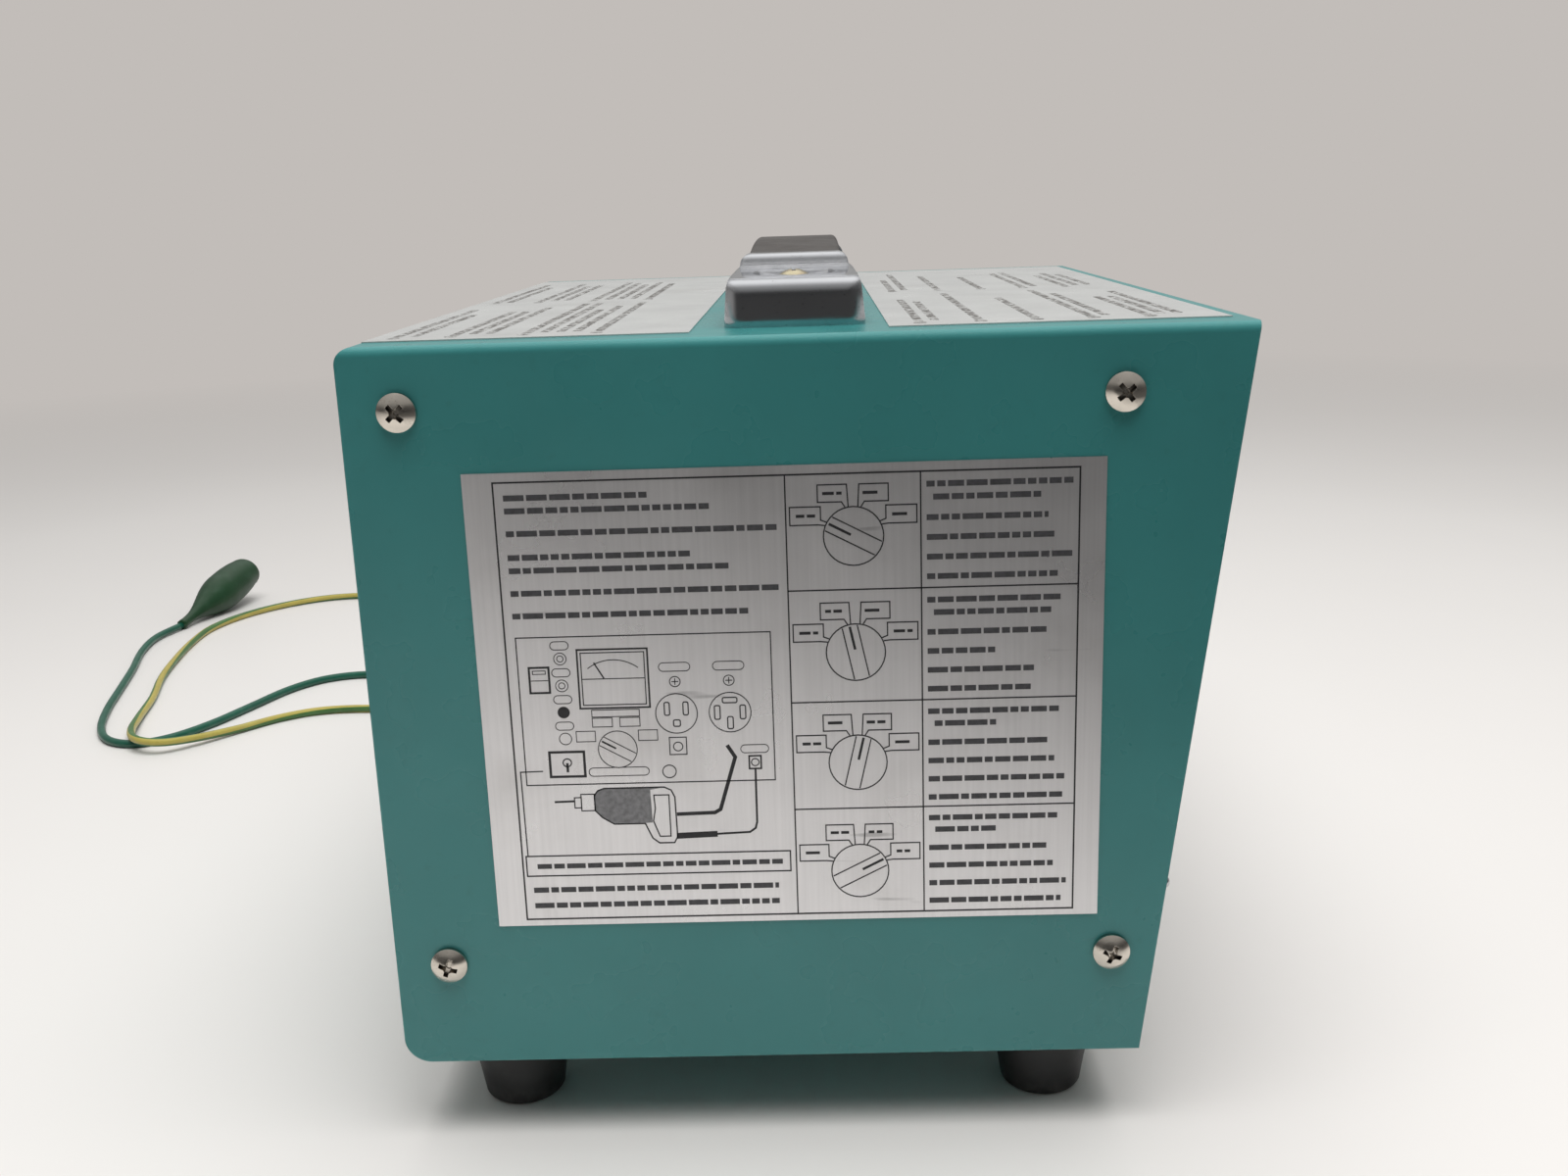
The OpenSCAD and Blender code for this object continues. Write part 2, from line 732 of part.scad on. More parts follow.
module meter_dial() {
    color("white") on_panel(meter_x, meter_z) difference() {
        translate([0, 8.5, dial_z]) rounded_plate(meter_w - 6, 43, dial_t, 1);
        translate([0, -pivot_drop, 0]) cylinder(d = 8, h = 20);
    }
}

module meter_needle() {
    color("black") on_panel(meter_x, meter_z) translate([0, -pivot_drop, needle_z])
        rotate([0, 0, needle_rest]) difference() {
            union() {
                cylinder(d = 5, h = 1.8);
                translate([0, 0, 0.6]) linear_extrude(0.6)
                    polygon([[-0.9, 0], [0.9, 0], [0.3, needle_l], [-0.3, needle_l]]);
                translate([0, 0, 0.6]) linear_extrude(0.6)
                    polygon([[-0.8, 0], [0.8, 0], [1.4, -7], [-1.4, -7]]);
            }
            translate([0, 0, -1]) cylinder(d = pivot_d + 2 * fit, h = 4);
        }
}

module meter_window() {
    color([0.8, 0.9, 0.9, 0.4]) on_panel(meter_x, meter_z) {
        translate([0, 0, meter_d - 1]) linear_extrude(1.2) window_outline(2.3);
    }
}

module meter_zero_screw() {
    color([0.1, 0.1, 0.1]) on_panel(meter_x, meter_z) translate([0, zero_screw_y, 0])
        difference() {
            union() {
                translate([0, 0, meter_d - meter_front_t - 1]) cylinder(d = zero_shank_d, h = 4);
                translate([0, 0, meter_d + fit]) cylinder(d1 = 8, d2 = 7, h = 1.4);
            }
            translate([-5, -0.5, meter_d + 0.7]) cube([10, 1, 2]);
        }
}

// Power switch: a frame with a body behind, and a rocker on a pivot
rocker_tilt = 11;
rocker_pivot_z = -1;
rocker_open_w = rocker_w - 4.4;
rocker_r = (rocker_h - 5.4) / 2;
rocker_clear = 0.35;
rocker_body = 20;

module rocker_frame() {
    color([0.08, 0.08, 0.08]) on_panel(rocker_x, rocker_z) {
        difference() {
            union() {
                rounded_plate(rocker_w, rocker_h, 1.6, 1.5);
                rounded_plate(rocker_w - 1.6, rocker_h - 1.6, 2.4, 1.2);
                translate([0, 0, -rocker_body])
                    rounded_plate(rocker_w - 3.2, rocker_h - 3.2, rocker_body + eps, 1);
            }
            translate([-rocker_open_w / 2, -rocker_r - rocker_clear, -rocker_body + 4])
                cube([rocker_open_w, 2 * (rocker_r + rocker_clear), rocker_body]);
            translate([-rocker_w / 2 + 2, 0, rocker_pivot_z]) rotate([0, 90, 0])
                cylinder(d = 3 + 2 * fit, h = rocker_w - 4);
        }
        for (y = [-7, 0, 7]) translate([-2.4, y - 0.4, -rocker_body - 8]) cube([4.8, 0.8, 8 + eps]);
    }
}

module power_rocker() {
    w = rocker_open_w - 0.6;
    color([0.08, 0.08, 0.08]) on_panel(rocker_x, rocker_z) translate([0, 0, rocker_pivot_z])
        rotate([rocker_tilt, 0, 0]) {
            intersection() {
                translate([-w / 2, 0, 0]) rotate([0, 90, 0]) cylinder(r = rocker_r, h = w);
                rotate([90, 0, 90]) translate([0, 0, -w / 2]) linear_extrude(w)
                    polygon([[-rocker_r, -7], [rocker_r, -7], [rocker_r, 6.6], [0, 4.2],
                             [-rocker_r, 6.6]]);
            }
            translate([-rocker_w / 2 + 2.3, 0, 0]) rotate([0, 90, 0])
                cylinder(d = 3, h = rocker_w - 4.6);
        }
}

// Indicator lamps
lamp_d = 13;
lens_d = 8;
lamp_barrel_d = 9.6;
lens_seat = -3;

module lamp_bezel() {
    rotate_extrude() polygon([[lens_d / 2 + 0.1, lens_seat], [lens_d / 2 + 0.1, 3.6],
        [lens_d / 2 + 1, 3.6], [lamp_d / 2, 1.2], [lamp_d / 2, 0], [lamp_barrel_d / 2 - 0.1, 0],
        [lamp_barrel_d / 2 - 0.1, -20], [0, -20], [0, lens_seat]]);
    translate([0, 0, -panel_t - 2.5]) difference() {
        cylinder(d = 14, h = 2.5, $fn = 6);
        translate([0, 0, -1]) cylinder(d = lamp_barrel_d - 0.4, h = 5);
    }
}

module lamp_lens() {
    cylinder(d = lens_d, h = 3.4 - lens_seat);
    translate([0, 0, 3.4 - lens_seat]) intersection() {
        cylinder(d = lens_d, h = 4);
        translate([0, 0, -2.2]) sphere(d = 9.13);
    }
}

module lamp_bezels() {
    color("silver") for (z = [ok_z, ng_z]) on_panel(column_x, z) lamp_bezel();
}

module ok_lamp_lens() {
    color("green") on_panel(column_x, ok_z) translate([0, 0, lens_seat]) lamp_lens();
}

module ng_lamp_lens() {
    color("red") on_panel(column_x, ng_z) translate([0, 0, lens_seat]) lamp_lens();
}

// Push buttons
button_barrel_d = button_d + 2.6;
button_bezel_d = button_d + 4;
button_stand = 6;
button_fit = 0.08;

module button_body() {
    bore = button_d / 2 + button_fit;
    rotate_extrude() polygon([[bore, -14], [bore, 2], [bore + 0.5, 2.4], [bore + 1.1, 2.4],
        [button_bezel_d / 2, 1.2], [button_bezel_d / 2, 0], [button_barrel_d / 2 - 0.2, 0],
        [button_barrel_d / 2 - 0.2, -24], [0, -24], [0, -14]]);
    translate([0, 0, -panel_t - 3]) difference() {
        cylinder(d = button_barrel_d + 5, h = 3, $fn = 6);
        translate([0, 0, -1]) cylinder(d = button_barrel_d - 0.8, h = 5);
    }
    for (x = [-3, 3]) translate([x - 0.4, -1.5, -31]) cube([0.8, 3, 7 + eps]);
}

module button_cap() {
    r = 1.6;
    rotate_extrude() {
        translate([0, -8]) square([button_d / 2, 8 + button_stand - r]);
        square([button_d / 2 - r, button_stand]);
        translate([button_d / 2 - r, button_stand - r]) circle(r);
    }
}

module button_bodies() {
    color("silver") for (z = [start_z, test_z]) on_panel(column_x, z) button_body();
}

module start_button() {
    color([0.08, 0.08, 0.08]) on_panel(column_x, start_z) button_cap();
}

module test_button() {
    color("white") on_panel(column_x, test_z) button_cap();
}

// Selector: a wafer switch behind the panel, its shaft and a bar knob
selector_bush_d = 9.4;
selector_nut_h = 2.6;
selector_back = -panel_t;
wafer_d = 36;
knob_rest = 60;
knob_gap = 1.2;
skirt_h = 5.5;

module selector_switch() {
    color("silver") on_panel(meter_x, knob_z) {
        difference() {
            union() {
                translate([-15, -15, selector_back - 2]) cube([30, 30, 2]);
                translate([0, 0, selector_back - 3]) cylinder(d = selector_bush_d - 0.3, h = 11);
            }
            translate([0, 0, -20]) cylinder(d = shaft_d + 2 * fit, h = 40);
        }
        for (s = [-1, 1]) translate([s * 12, 0, selector_back - 14]) cylinder(d = 4, h = 12 + eps);
        difference() {
            union() {
                translate([0, 0, selector_back - 9]) cylinder(d = wafer_d - 7, h = 2);
                for (a = [15:30:345]) rotate([0, 0, a])
                    translate([wafer_d / 2 - 4, -1, selector_back - 8.4]) cube([6, 2, 0.8]);
            }
            translate([0, 0, -20]) cylinder(d = shaft_d + 1, h = 30);
        }
    }
}

module selector_shaft() {
    color("silver") on_panel(meter_x, knob_z) translate([0, 0, selector_back - 12])
        cylinder(d = shaft_d, h = 12 - selector_back + knob_h - 3);
}

module selector_knob() {
    top_z = knob_h;
    color([0.08, 0.08, 0.08]) on_panel(meter_x, knob_z) rotate([0, 0, knob_rest]) difference() {
        union() {
            translate([0, 0, knob_gap]) cylinder(d = knob_d, h = skirt_h - 1.5);
            translate([0, 0, knob_gap + skirt_h - 1.5])
                cylinder(d1 = knob_d, d2 = knob_d - 4, h = 1.5);
            intersection() {
                translate([0, 0, knob_gap + 1])
                    cylinder(d1 = knob_d - 5, d2 = knob_d - 9, h = top_z - knob_gap - 1);
                difference() {
                    translate([-knob_bar_w / 2, -knob_d / 2, 0]) cube([knob_bar_w, knob_d, top_z]);
                    for (s = [-1, 1]) translate([s * (knob_bar_w / 2 + 38.6), 0, 0])
                        cylinder(r = 40, h = top_z + 1, $fn = 120);
                }
            }
        }
        translate([0, 0, -1]) cylinder(d = 18, h = 1 + selector_nut_h + 1.2);
        translate([0, 0, -1]) cylinder(d = shaft_d + 0.1, h = top_z - 2);
        translate([0, 0, -1]) cylinder(d = selector_bush_d + 1, h = 11);
        translate([-0.7, 2, top_z - 0.5]) cube([1.4, knob_d, 2]);
        translate([-0.7, knob_d / 2 - 3, knob_gap + 2]) cube([1.4, 5, 20]);
    }
}

// Toggle switch with its plate
toggle_bush_d = 7.2;
toggle_plate_t = 0.8;
toggle_pivot_z = 2;
toggle_mouth_z = 8;
toggle_ball_r = 2.5;
lever_tilt = 13;

module toggle_plate() {
    color([0.1, 0.1, 0.1]) on_panel(column_x, toggle_z) difference() {
        rounded_plate(38, 30, toggle_plate_t, 1);
        translate([0, 0, -1]) cylinder(d = toggle_bush_d, h = 4);
    }
}

module toggle_switch() {
    color("silver") on_panel(column_x, toggle_z) {
        difference() {
            union() {
                translate([0, 0, -panel_t - 1]) cylinder(d = toggle_bush_d - 0.2,
                                                         h = toggle_mouth_z + panel_t + 1);
                translate([-6.5, -8, -panel_t - 12]) cube([13, 16, 12]);
            }
            translate([0, 0, -panel_t - 8]) cylinder(r = toggle_ball_r + fit,
                                                     h = toggle_pivot_z + panel_t + 9);
            translate([0, 0, toggle_pivot_z + 0.9])
                cylinder(r1 = toggle_ball_r + fit, r2 = 3.1, h = toggle_mouth_z - toggle_pivot_z);
        }
        for (y = [-5, 0, 5]) translate([-1.5, y - 0.4, -panel_t - 17]) cube([3, 0.8, 5 + eps]);
    }
}

module toggle_lever() {
    color("silver") on_panel(column_x, toggle_z) translate([0, 0, toggle_pivot_z])
        rotate([lever_tilt, 0, 0]) {
            sphere(toggle_ball_r);
            translate([0, 0, -5]) cylinder(r = 0.9, h = 6);
            cylinder(r1 = 1.2, r2 = 1.1, h = 7);
            translate([0, 0, 7 - eps]) cylinder(r1 = 1.1, r2 = 1.9, h = lever_l - 8.9);
            translate([0, 0, lever_l - 1.9]) sphere(1.9);
        }
}

// Round outlets: a flanged face with blade slots over a body behind the panel
outlet_body_l = 24;

module outlet_blank() {
    r = 2;
    rotate_extrude() {
        difference() {
            union() {
                square([outlet_d / 2, outlet_h - r]);
                square([outlet_d / 2 - r, outlet_h]);
                translate([outlet_d / 2 - r, outlet_h - r]) circle(r);
            }
            translate([0, -r]) square([outlet_d, r]);
            translate([0, outlet_h - 0.8]) square([outlet_d / 2 - 4.5, 2]);
        }
        translate([0, -outlet_body_l]) square([outlet_d / 2 - 4.2, outlet_body_l + eps]);
    }
}

module slot(w, h) {
    translate([-w / 2, -h / 2, outlet_h - slot_depth]) cube([w, h, slot_depth + 1]);
    translate([-w / 2 - 0.9, -h / 2 - 0.9, outlet_h - 1.5]) cube([w + 1.8, h + 1.8, 2]);
}

module two_pole_outlet() {
    color([0.12, 0.12, 0.12]) on_panel(two_pole_x, outlet_z) difference() {
        outlet_blank();
        for (s = [-1, 1]) translate([s * 6.35, 4, 0]) slot(2.2, 9);
        translate([0, -8, 0]) {
            slot(4.9, 3);
            translate([0, -1.5, outlet_h - slot_depth]) cylinder(d = 4.9, h = slot_depth + 1);
        }
    }
}

module three_pole_outlet() {
    color([0.12, 0.12, 0.12]) on_panel(three_pole_x, outlet_z) difference() {
        outlet_blank();
        for (s = [-1, 1]) translate([s * 12.5, 0, 0]) slot(2.6, 10);
        translate([0, 12.5, 0]) slot(11, 2.6);
        translate([0, -12, 0]) slot(2.6, 10);
    }
}

// Earth screws above the outlets and on the earth tab
panel_screw_thread = 5;
tab_t = 1.2;
tab_w = 19;
tab_h = 20;

module panel_screws() {
    color("silver") {
        for (x = [two_pole_x, three_pole_x]) on_panel(x, outlet_screw_z)
            rotate([0, 0, x]) pan_screw(11, 3.6, panel_screw_thread, 9);
        on_panel(two_pole_x, tab_z) translate([0, 0, tab_t])
            rotate([0, 0, 12]) pan_screw(11, 3.6, panel_screw_thread, 10);
    }
}

// Plated angle that an earth clip bites on
module earth_tab() {
    color("silver") on_panel(two_pole_x, tab_z) difference() {
        union() {
            translate([-tab_w / 2, -tab_h / 2 + 2.4, 0]) cube([tab_w, tab_h - 2.4, tab_t]);
            translate([-tab_w / 2, -tab_h / 2, 2.4]) cube([tab_w, tab_t, 10]);
            translate([-tab_w / 2, -tab_h / 2 + 2.4, 2.4]) rotate([0, 90, 0]) intersection() {
                difference() {
                    cylinder(r = 2.4, h = tab_w);
                    translate([0, 0, -1]) cylinder(r = 2.4 - tab_t, h = tab_w + 2);
                }
                translate([0, -3, -1]) cube([3, 3, tab_w + 2]);
            }
        }
        translate([0, 0, -1]) cylinder(d = panel_screw_thread + 0.4, h = 4);
    }
}

// Fuse holder with a quarter turn cap
fuse_barrel_d = 12.2;
fuse_cap_d = 10;

module fuse_holder() {
    color([0.08, 0.08, 0.08]) on_panel(fuse_x, fuse_z) {
        rotate_extrude() polygon([[fuse_cap_d / 2 + fit, -28], [fuse_cap_d / 2 + fit, 2.4],
            [6.4, 2.4], [7.6, 1.2], [7.6, 0], [6, 0], [6, -34], [0, -34], [0, -28]]);
        translate([0, 0, -panel_t - 3]) difference() {
            cylinder(d = 17, h = 3, $fn = 6);
            translate([0, 0, -1]) cylinder(d = 11.6, h = 5);
        }
        translate([-1.5, -0.4, -41]) cube([3, 0.8, 7 + eps]);
    }
}

module fuse_cap() {
    color([0.1, 0.1, 0.1]) on_panel(fuse_x, fuse_z) difference() {
        union() {
            translate([0, 0, -26]) cylinder(d = 6, h = 24);
            translate([0, 0, -3]) cylinder(d = fuse_cap_d, h = 8);
            translate([0, 0, 5 - eps]) cylinder(d1 = fuse_cap_d, d2 = fuse_cap_d - 1.4, h = 0.8);
        }
        translate([-6, -0.7, 4.4]) cube([12, 1.4, 3]);
    }
}

// Earth post: an insulated stud whose turning cap clamps the lead lugs
post_sleeve_d = 9.2;
post_collar_h = 4;
stud_d = 5;
lug_t = 0.8;
cap_start_z = post_collar_h + 2 * lug_t + 0.1;
stud_in_cap = post_l - post_bore_l - 1;

module earth_post() {
    color("green") on_panel(post_x, post_z) {
        difference() {
            union() {
                cylinder(d1 = 17, d2 = 16, h = post_collar_h);
                translate([0, 0, -6]) cylinder(d = post_sleeve_d - 0.2, h = 6 + eps);
            }
            translate([0, 0, -7]) cylinder(d = stud_d + 0.1, h = 20);
        }
        translate([0, 0, -16]) cylinder(d = stud_d, h = 16 + cap_start_z + stud_in_cap - 0.4);
        translate([0, 0, -panel_t - 3]) difference() {
            cylinder(d = 15, h = 3);
            translate([0, 0, -1]) cylinder(d = post_sleeve_d, h = 5);
        }
        translate([0, 0, -10]) hex_nut(8, 4, stud_d);
    }
}

module earth_post_cap() {
    flutes = 12;
    color("green") on_panel(post_x, post_z) translate([0, 0, cap_start_z]) difference() {
        union() {
            cylinder(d = post_d, h = post_l - 1.5);
            translate([0, 0, post_l - 1.5 - eps]) cylinder(d1 = post_d, d2 = post_d - 2.4, h = 1.5);
        }
        for (a = [0:360 / flutes:359]) rotate([0, 0, a]) translate([post_d / 2 + 0.7, 0, 1.5])
            cylinder(d = 2.6, h = post_l, $fn = 16);
        translate([0, 0, -1]) cylinder(d = stud_d + 2 * fit, h = stud_in_cap + 1);
        translate([0, 0, post_l - post_bore_l]) cylinder(d = post_bore_d, h = post_bore_l + 1);
    }
}

// Inside the case
board_z = z_bot + sheet_t + 11;
board_x = [-122, 26];
board_y = [-34, 58];
board_t = 1.6;
standoff_d = 6;

module board_standoffs() {
    color("silver") for (x = [board_x[0] + 5, board_x[1] - 5], y = [board_y[0] + 5, board_y[1] - 5])
        translate([x, y, z_bot + sheet_t]) difference() {
            cylinder(d = standoff_d, h = board_z - z_bot - sheet_t, $fn = 6);
            translate([0, 0, 4]) cylinder(d = 2.5, h = 20);
        }
}

module circuit_board() {
    color("darkgreen") difference() {
        translate([board_x[0], board_y[0], board_z])
            cube([board_x[1] - board_x[0], board_y[1] - board_y[0], board_t]);
        for (x = [board_x[0] + 5, board_x[1] - 5], y = [board_y[0] + 5, board_y[1] - 5])
            translate([x, y, board_z - 1]) cylinder(d = 3.2, h = 4);
    }
}

// Relays, capacitors, chips and the connector block on the board
connector_x = [-30, -20];
connector_y = [-26, 34];
connector_h = 11;

module board_parts() {
    top = board_z + board_t;
    color([0.2, 0.2, 0.3]) {
        for (i = [0:2]) translate([-110 + 22 * i, 20, top]) cube([16, 28, 15]);
        for (i = [0:3]) translate([-108 + 16 * i, 6, top]) cylinder(d = 10, h = 18 - 2 * i);
        for (i = [0:4]) translate([-112 + 13 * i, -18, top]) cube([8, 14, 3.4]);
        translate([connector_x[0], connector_y[0], top])
            cube([connector_x[1] - connector_x[0], connector_y[1] - connector_y[0], connector_h]);
        for (i = [0:2]) translate([-8, -22 + 22 * i, top]) cylinder(d = 13, h = 20);
    }
}

// Laminated step-up transformer in a strap frame
transformer_at = [72, 4];
winding_y = 18;

module transformer() {
    color("gray") translate([transformer_at[0], transformer_at[1], z_bot + sheet_t]) {
        difference() {
            translate([-24, -12, 0]) cube([48, 24, 40]);
            for (s = [-1, 1]) translate([s * 12 - 4, -13, 8]) cube([8, 26, 24]);
        }
        for (y = [-winding_y, winding_y - 6]) translate([-15.5, y, 9]) cube([31, 6, 22]);
        for (s = [-1, 1]) translate([s * 29 - 6, -10, 0]) cube([12, 20, 1.5]);
    }
}

cell_y = wall_y - sheet_t - holder_d + 15.4;
function cell_z(i) = holder_z + 2 + cell_pitch * (i + 0.5);

// Rack open to the rear, with one trough for each pair of cells
module battery_holder() {
    pocket_l = 2 * cell_l + 3.2;
    color([0.1, 0.1, 0.1]) {
        difference() {
            translate([-holder_w / 2, wall_y - sheet_t - holder_d, holder_z])
                cube([holder_w, holder_d, holder_h]);
            for (i = [0:2]) translate([-pocket_l / 2, cell_y, cell_z(i)]) {
                rotate([0, 90, 0]) cylinder(d = cell_d + 0.6, h = pocket_l);
                translate([0, 0, -cell_d / 2 - 0.3]) cube([pocket_l, holder_d, cell_d + 0.6]);
            }
        }
        for (s = [-1, 1]) translate([s * 40 - 5, wall_y - sheet_t - holder_d, z_bot + sheet_t])
            cube([10, 18, holder_z - z_bot - sheet_t]);
    }
}

module batteries() {
    color("silver") for (i = [0:2], s = [0, 1])
        translate([-cell_l - 1.2 + s * (cell_l + 1.2), cell_y, cell_z(i)]) rotate([0, 90, 0]) {
            cylinder(d = cell_d, h = cell_l);
            cylinder(d = 6, h = cell_l + 1);
        }
}

// Sleeved bundles from the battery holder to the board, on to the meter, and from the
// transformer to each outlet
module wiring_loom() {
    bundle_d = 4;
    level = board_z + board_t + connector_h / 2;
    rack_x = holder_w / 2;
    rack_y = wall_y - sheet_t - holder_d / 2;
    meter_back_y = panel_y + meter_back;
    outlet_back_y = panel_y + outlet_body_l;
    coil = [transformer_at[0], transformer_at[1] - winding_y, z_bot + sheet_t + 20];
    color("crimson") {
        tube([[rack_x, rack_y, holder_z + 20], [rack_x + 9, rack_y - 1, holder_z + 20],
              [rack_x + 15, rack_y - 16, holder_z + 16], [rack_x + 4, rack_y - 36, level + 3],
              [36, connector_y[1] + 2, level], [18, connector_y[1] - 1, level],
              [connector_x[1] + 14, connector_y[1] - 2, level],
              [connector_x[1], connector_y[1] - 2, level]], bundle_d);
        tube([[connector_x[0], -10, level], [connector_x[0] - 9, -10, level + 1],
              [meter_x - 12, -16, level + 18], [meter_x - 10, meter_back_y + 26, knob_z + 24],
              [meter_x - 4, meter_back_y + 18, meter_z - 24],
              [meter_x, meter_back_y + 11, meter_z - 4],
              [meter_x, meter_back_y, meter_z]], bundle_d);
        for (i = [0, 1]) {
            x = [two_pole_x, three_pole_x][i];
            start = coil + [8 * (2 * i - 1), 0, 0];
            tube([start, start + [0, -9, 0], [(x + start[0]) / 2, outlet_back_y + 20, start[2] + 18],
                  [x, outlet_back_y + 14, outlet_z - 15], [x, outlet_back_y + 8, outlet_z - 2],
                  [x, outlet_back_y, outlet_z]], bundle_d);
        }
    }
}

// Ring lugs on the earth post, with their barrels pointing down
lug_angle = 15;
lug_reach = 16;

module lug(level, angle) {
    on_panel(post_x, post_z) rotate([0, 0, angle]) translate([0, 0, post_collar_h + level * lug_t]) {
        difference() {
            union() {
                cylinder(d = 10, h = lug_t);
                translate([-2, -9, 0]) cube([4, 9, lug_t]);
            }
            translate([0, 0, -1]) cylinder(d = stud_d + 0.2, h = 4);
        }
        translate([0, -8.4, lug_t / 2]) rotate([90, 0, 0]) cylinder(d = 4.6, h = lug_reach - 8.4);
    }
}

module lead_lugs() {
    color("silver") {
        lug(0, -lug_angle);
        lug(1, lug_angle);
    }
}

// Route of the green lead, from its lug round the case to its clip
green_route = [
    [108.8, -83.9, 28.7], [107, -84.5, 22], [106, -88, 12], [108, -95, 4.5], [116, -101, 1.9],
    [132, -104, 1.8], [148, -98, 1.8], [160, -84, 1.8], [167, -62, 1.8], [172, -34, 1.8],
    [178, 0, 1.8], [186, 40, 1.8], [197, 82, 1.8], [210, 122, 1.8], [225, 160, 1.8],
    [241, 196, 1.8], [251, 222, 1.8], [246, 243, 1.8], [230, 257, 1.8], [206, 267, 1.8],
    [182, 277, 1.8], [164, 289, 1.8], [157, 303, 1.8], [163, 317, 1.8], [180, 328, 1.8],
    [206, 337, 1.8], [238, 345, 1.8], [270, 353, 1.8], [302, 362, 1.9], [328, 365, 2.3],
    [351, 360, 2.7]
];

// Route of the striped lead, which passes over the green one in a low hump
striped_route = [
    [117.1, -84.7, 28.7], [118.6, -85.4, 22], [119, -88, 13], [121, -92, 5.5], [127, -94.5, 2],
    [137, -91, 1.8], [146, -80, 1.8], [152, -62, 1.8], [155, -34, 1.8], [157, 0, 1.8],
    [160, 40, 1.8], [165, 82, 1.8], [173, 122, 1.8], [184, 160, 1.8], [194, 190, 1.8],
    [198, 212, 1.8], [196, 232, 1.8], [187, 248, 1.8], [172, 262, 2.2], [157, 275, 3.8],
    [148, 287, 5.4], [152, 299, 5.7], [167, 308, 4.4], [190, 315, 2.5], [222, 322, 1.8],
    [254, 331, 1.8], [286, 337, 1.8], [318, 341, 1.8], [346, 341, 1.8], [372, 332, 1.8],
    [394, 315, 1.8], [408, 293, 1.8], [411, 268, 1.8], [405, 240, 1.8], [395, 214, 1.9],
    [387, 192, 2.3], [381, 172, 2.7]
];

// Point on a smooth curve through four neighbouring route points
function curve_point(a, b, c, d, t) =
    0.5 * (2 * b + (c - a) * t + (2 * a - 5 * b + 4 * c - d) * t * t
           + (3 * b - a - 3 * c + d) * t * t * t);

steps_per_point = 2;

// Route point i, with the ends run on in a straight line
function route_at(route, i) =
    i < 0 ? 2 * route[0] - route[1] :
    i >= len(route) ? 2 * route[len(route) - 1] - route[len(route) - 2] : route[i];

function smooth_route(route) = [
    for (i = [0:len(route) - 2], k = [0:steps_per_point - 1])
        curve_point(route_at(route, i - 1), route[i], route[i + 1], route_at(route, i + 2),
                    k / steps_per_point),
    route[len(route) - 1]
];

function direction_at(pts, i) =
    let (d = pts[min(i + 1, len(pts) - 1)] - pts[max(i - 1, 0)]) d / norm(d);

// One ring of the tube, square to the route
function ring(p, t, r, sides) =
    let (side = [t[1], -t[0], 0] / norm([t[0], t[1]]), up = cross(side, t))
    [for (k = [0:sides - 1]) let (a = (k + 0.5) * 360 / sides)
        p + r * (cos(a) * side + sin(a) * up)];

// Tube of diameter d along a route
module tube(route, d) {
    sides = 8;
    pts = smooth_route(route);
    n = len(pts);
    points = [for (i = [0:n - 1]) each ring(pts[i], direction_at(pts, i), d / 2, sides)];
    walls = [for (i = [0:n - 2], k = [0:sides - 1]) let (m = (k + 1) % sides)
        [i * sides + k, i * sides + m, (i + 1) * sides + m, (i + 1) * sides + k]];
    start = [for (k = [sides - 1:-1:0]) k];
    finish = [for (k = [0:sides - 1]) (n - 1) * sides + k];
    polyhedron(points, concat([start], walls, [finish]), convexity = 10);
}

module green_lead() {
    color("green") tube(green_route, lead_d);
}

module striped_lead() {
    color("yellowgreen") tube(striped_route, lead_d);
}

// Booted clips, each lying on the floor with its tail at the end of its lead
green_clip_at = [351, 360];
green_clip_turn = -12;
striped_clip_at = [381, 172];
striped_clip_turn = -107;
boot_tail_r = 2.7;
boot_t = 1.2;
boot_collar = 0.09;
boot_full = 0.62;
boot_mouth = 0.8;
pin_share = 0.58;
tail_share = 0.375;
clip_pin_d = 2.4;
jaw_t = 0.8;
jaw_gap = 0.3;

// Radius of the boot at a share of its length
function boot_r(u) =
    let (full = boot_d / 2, v = min(1, max(0, (u - boot_collar) / (boot_full - boot_collar))))
    (boot_tail_r + (full - boot_tail_r) * v * v * (3 - 2 * v))
    * (u < 0.7 ? 1 : 1 - (1 - boot_mouth) * pow((u - 0.7) / 0.3, 2));

// The clip's tail seats where the inside of the boot has the same radius
frame_r = boot_r(tail_share) - boot_t;
jaw_r = frame_r - jaw_t - jaw_gap;

boot_steps = 24;
boot_shares = [for (i = [0:boot_steps]) i / boot_steps];
// Tilt that lets the tail and the belly of the boot both lie on the floor
boot_tilt = max([for (u = boot_shares) if (u > 0.1)
    atan((boot_r(u) - boot_tail_r) / (u * boot_l))]) + 0.3;

module lay_clip(at, turn) {
    translate([at[0], at[1], boot_tail_r]) rotate([0, 0, turn]) rotate([0, -boot_tilt, 0]) children();
}

module clip_boot() {
    outer = [for (u = boot_shares) [boot_r(u), u * boot_l]];
    inner = [for (i = [boot_steps:-1:5]) [boot_r(boot_shares[i]) - boot_t, boot_shares[i] * boot_l]];
    rotate([0, 90, 0]) rotate_extrude($fn = 40)
        polygon(concat([[0, 0]], outer, inner, [[0, boot_shares[5] * boot_l]]));
}

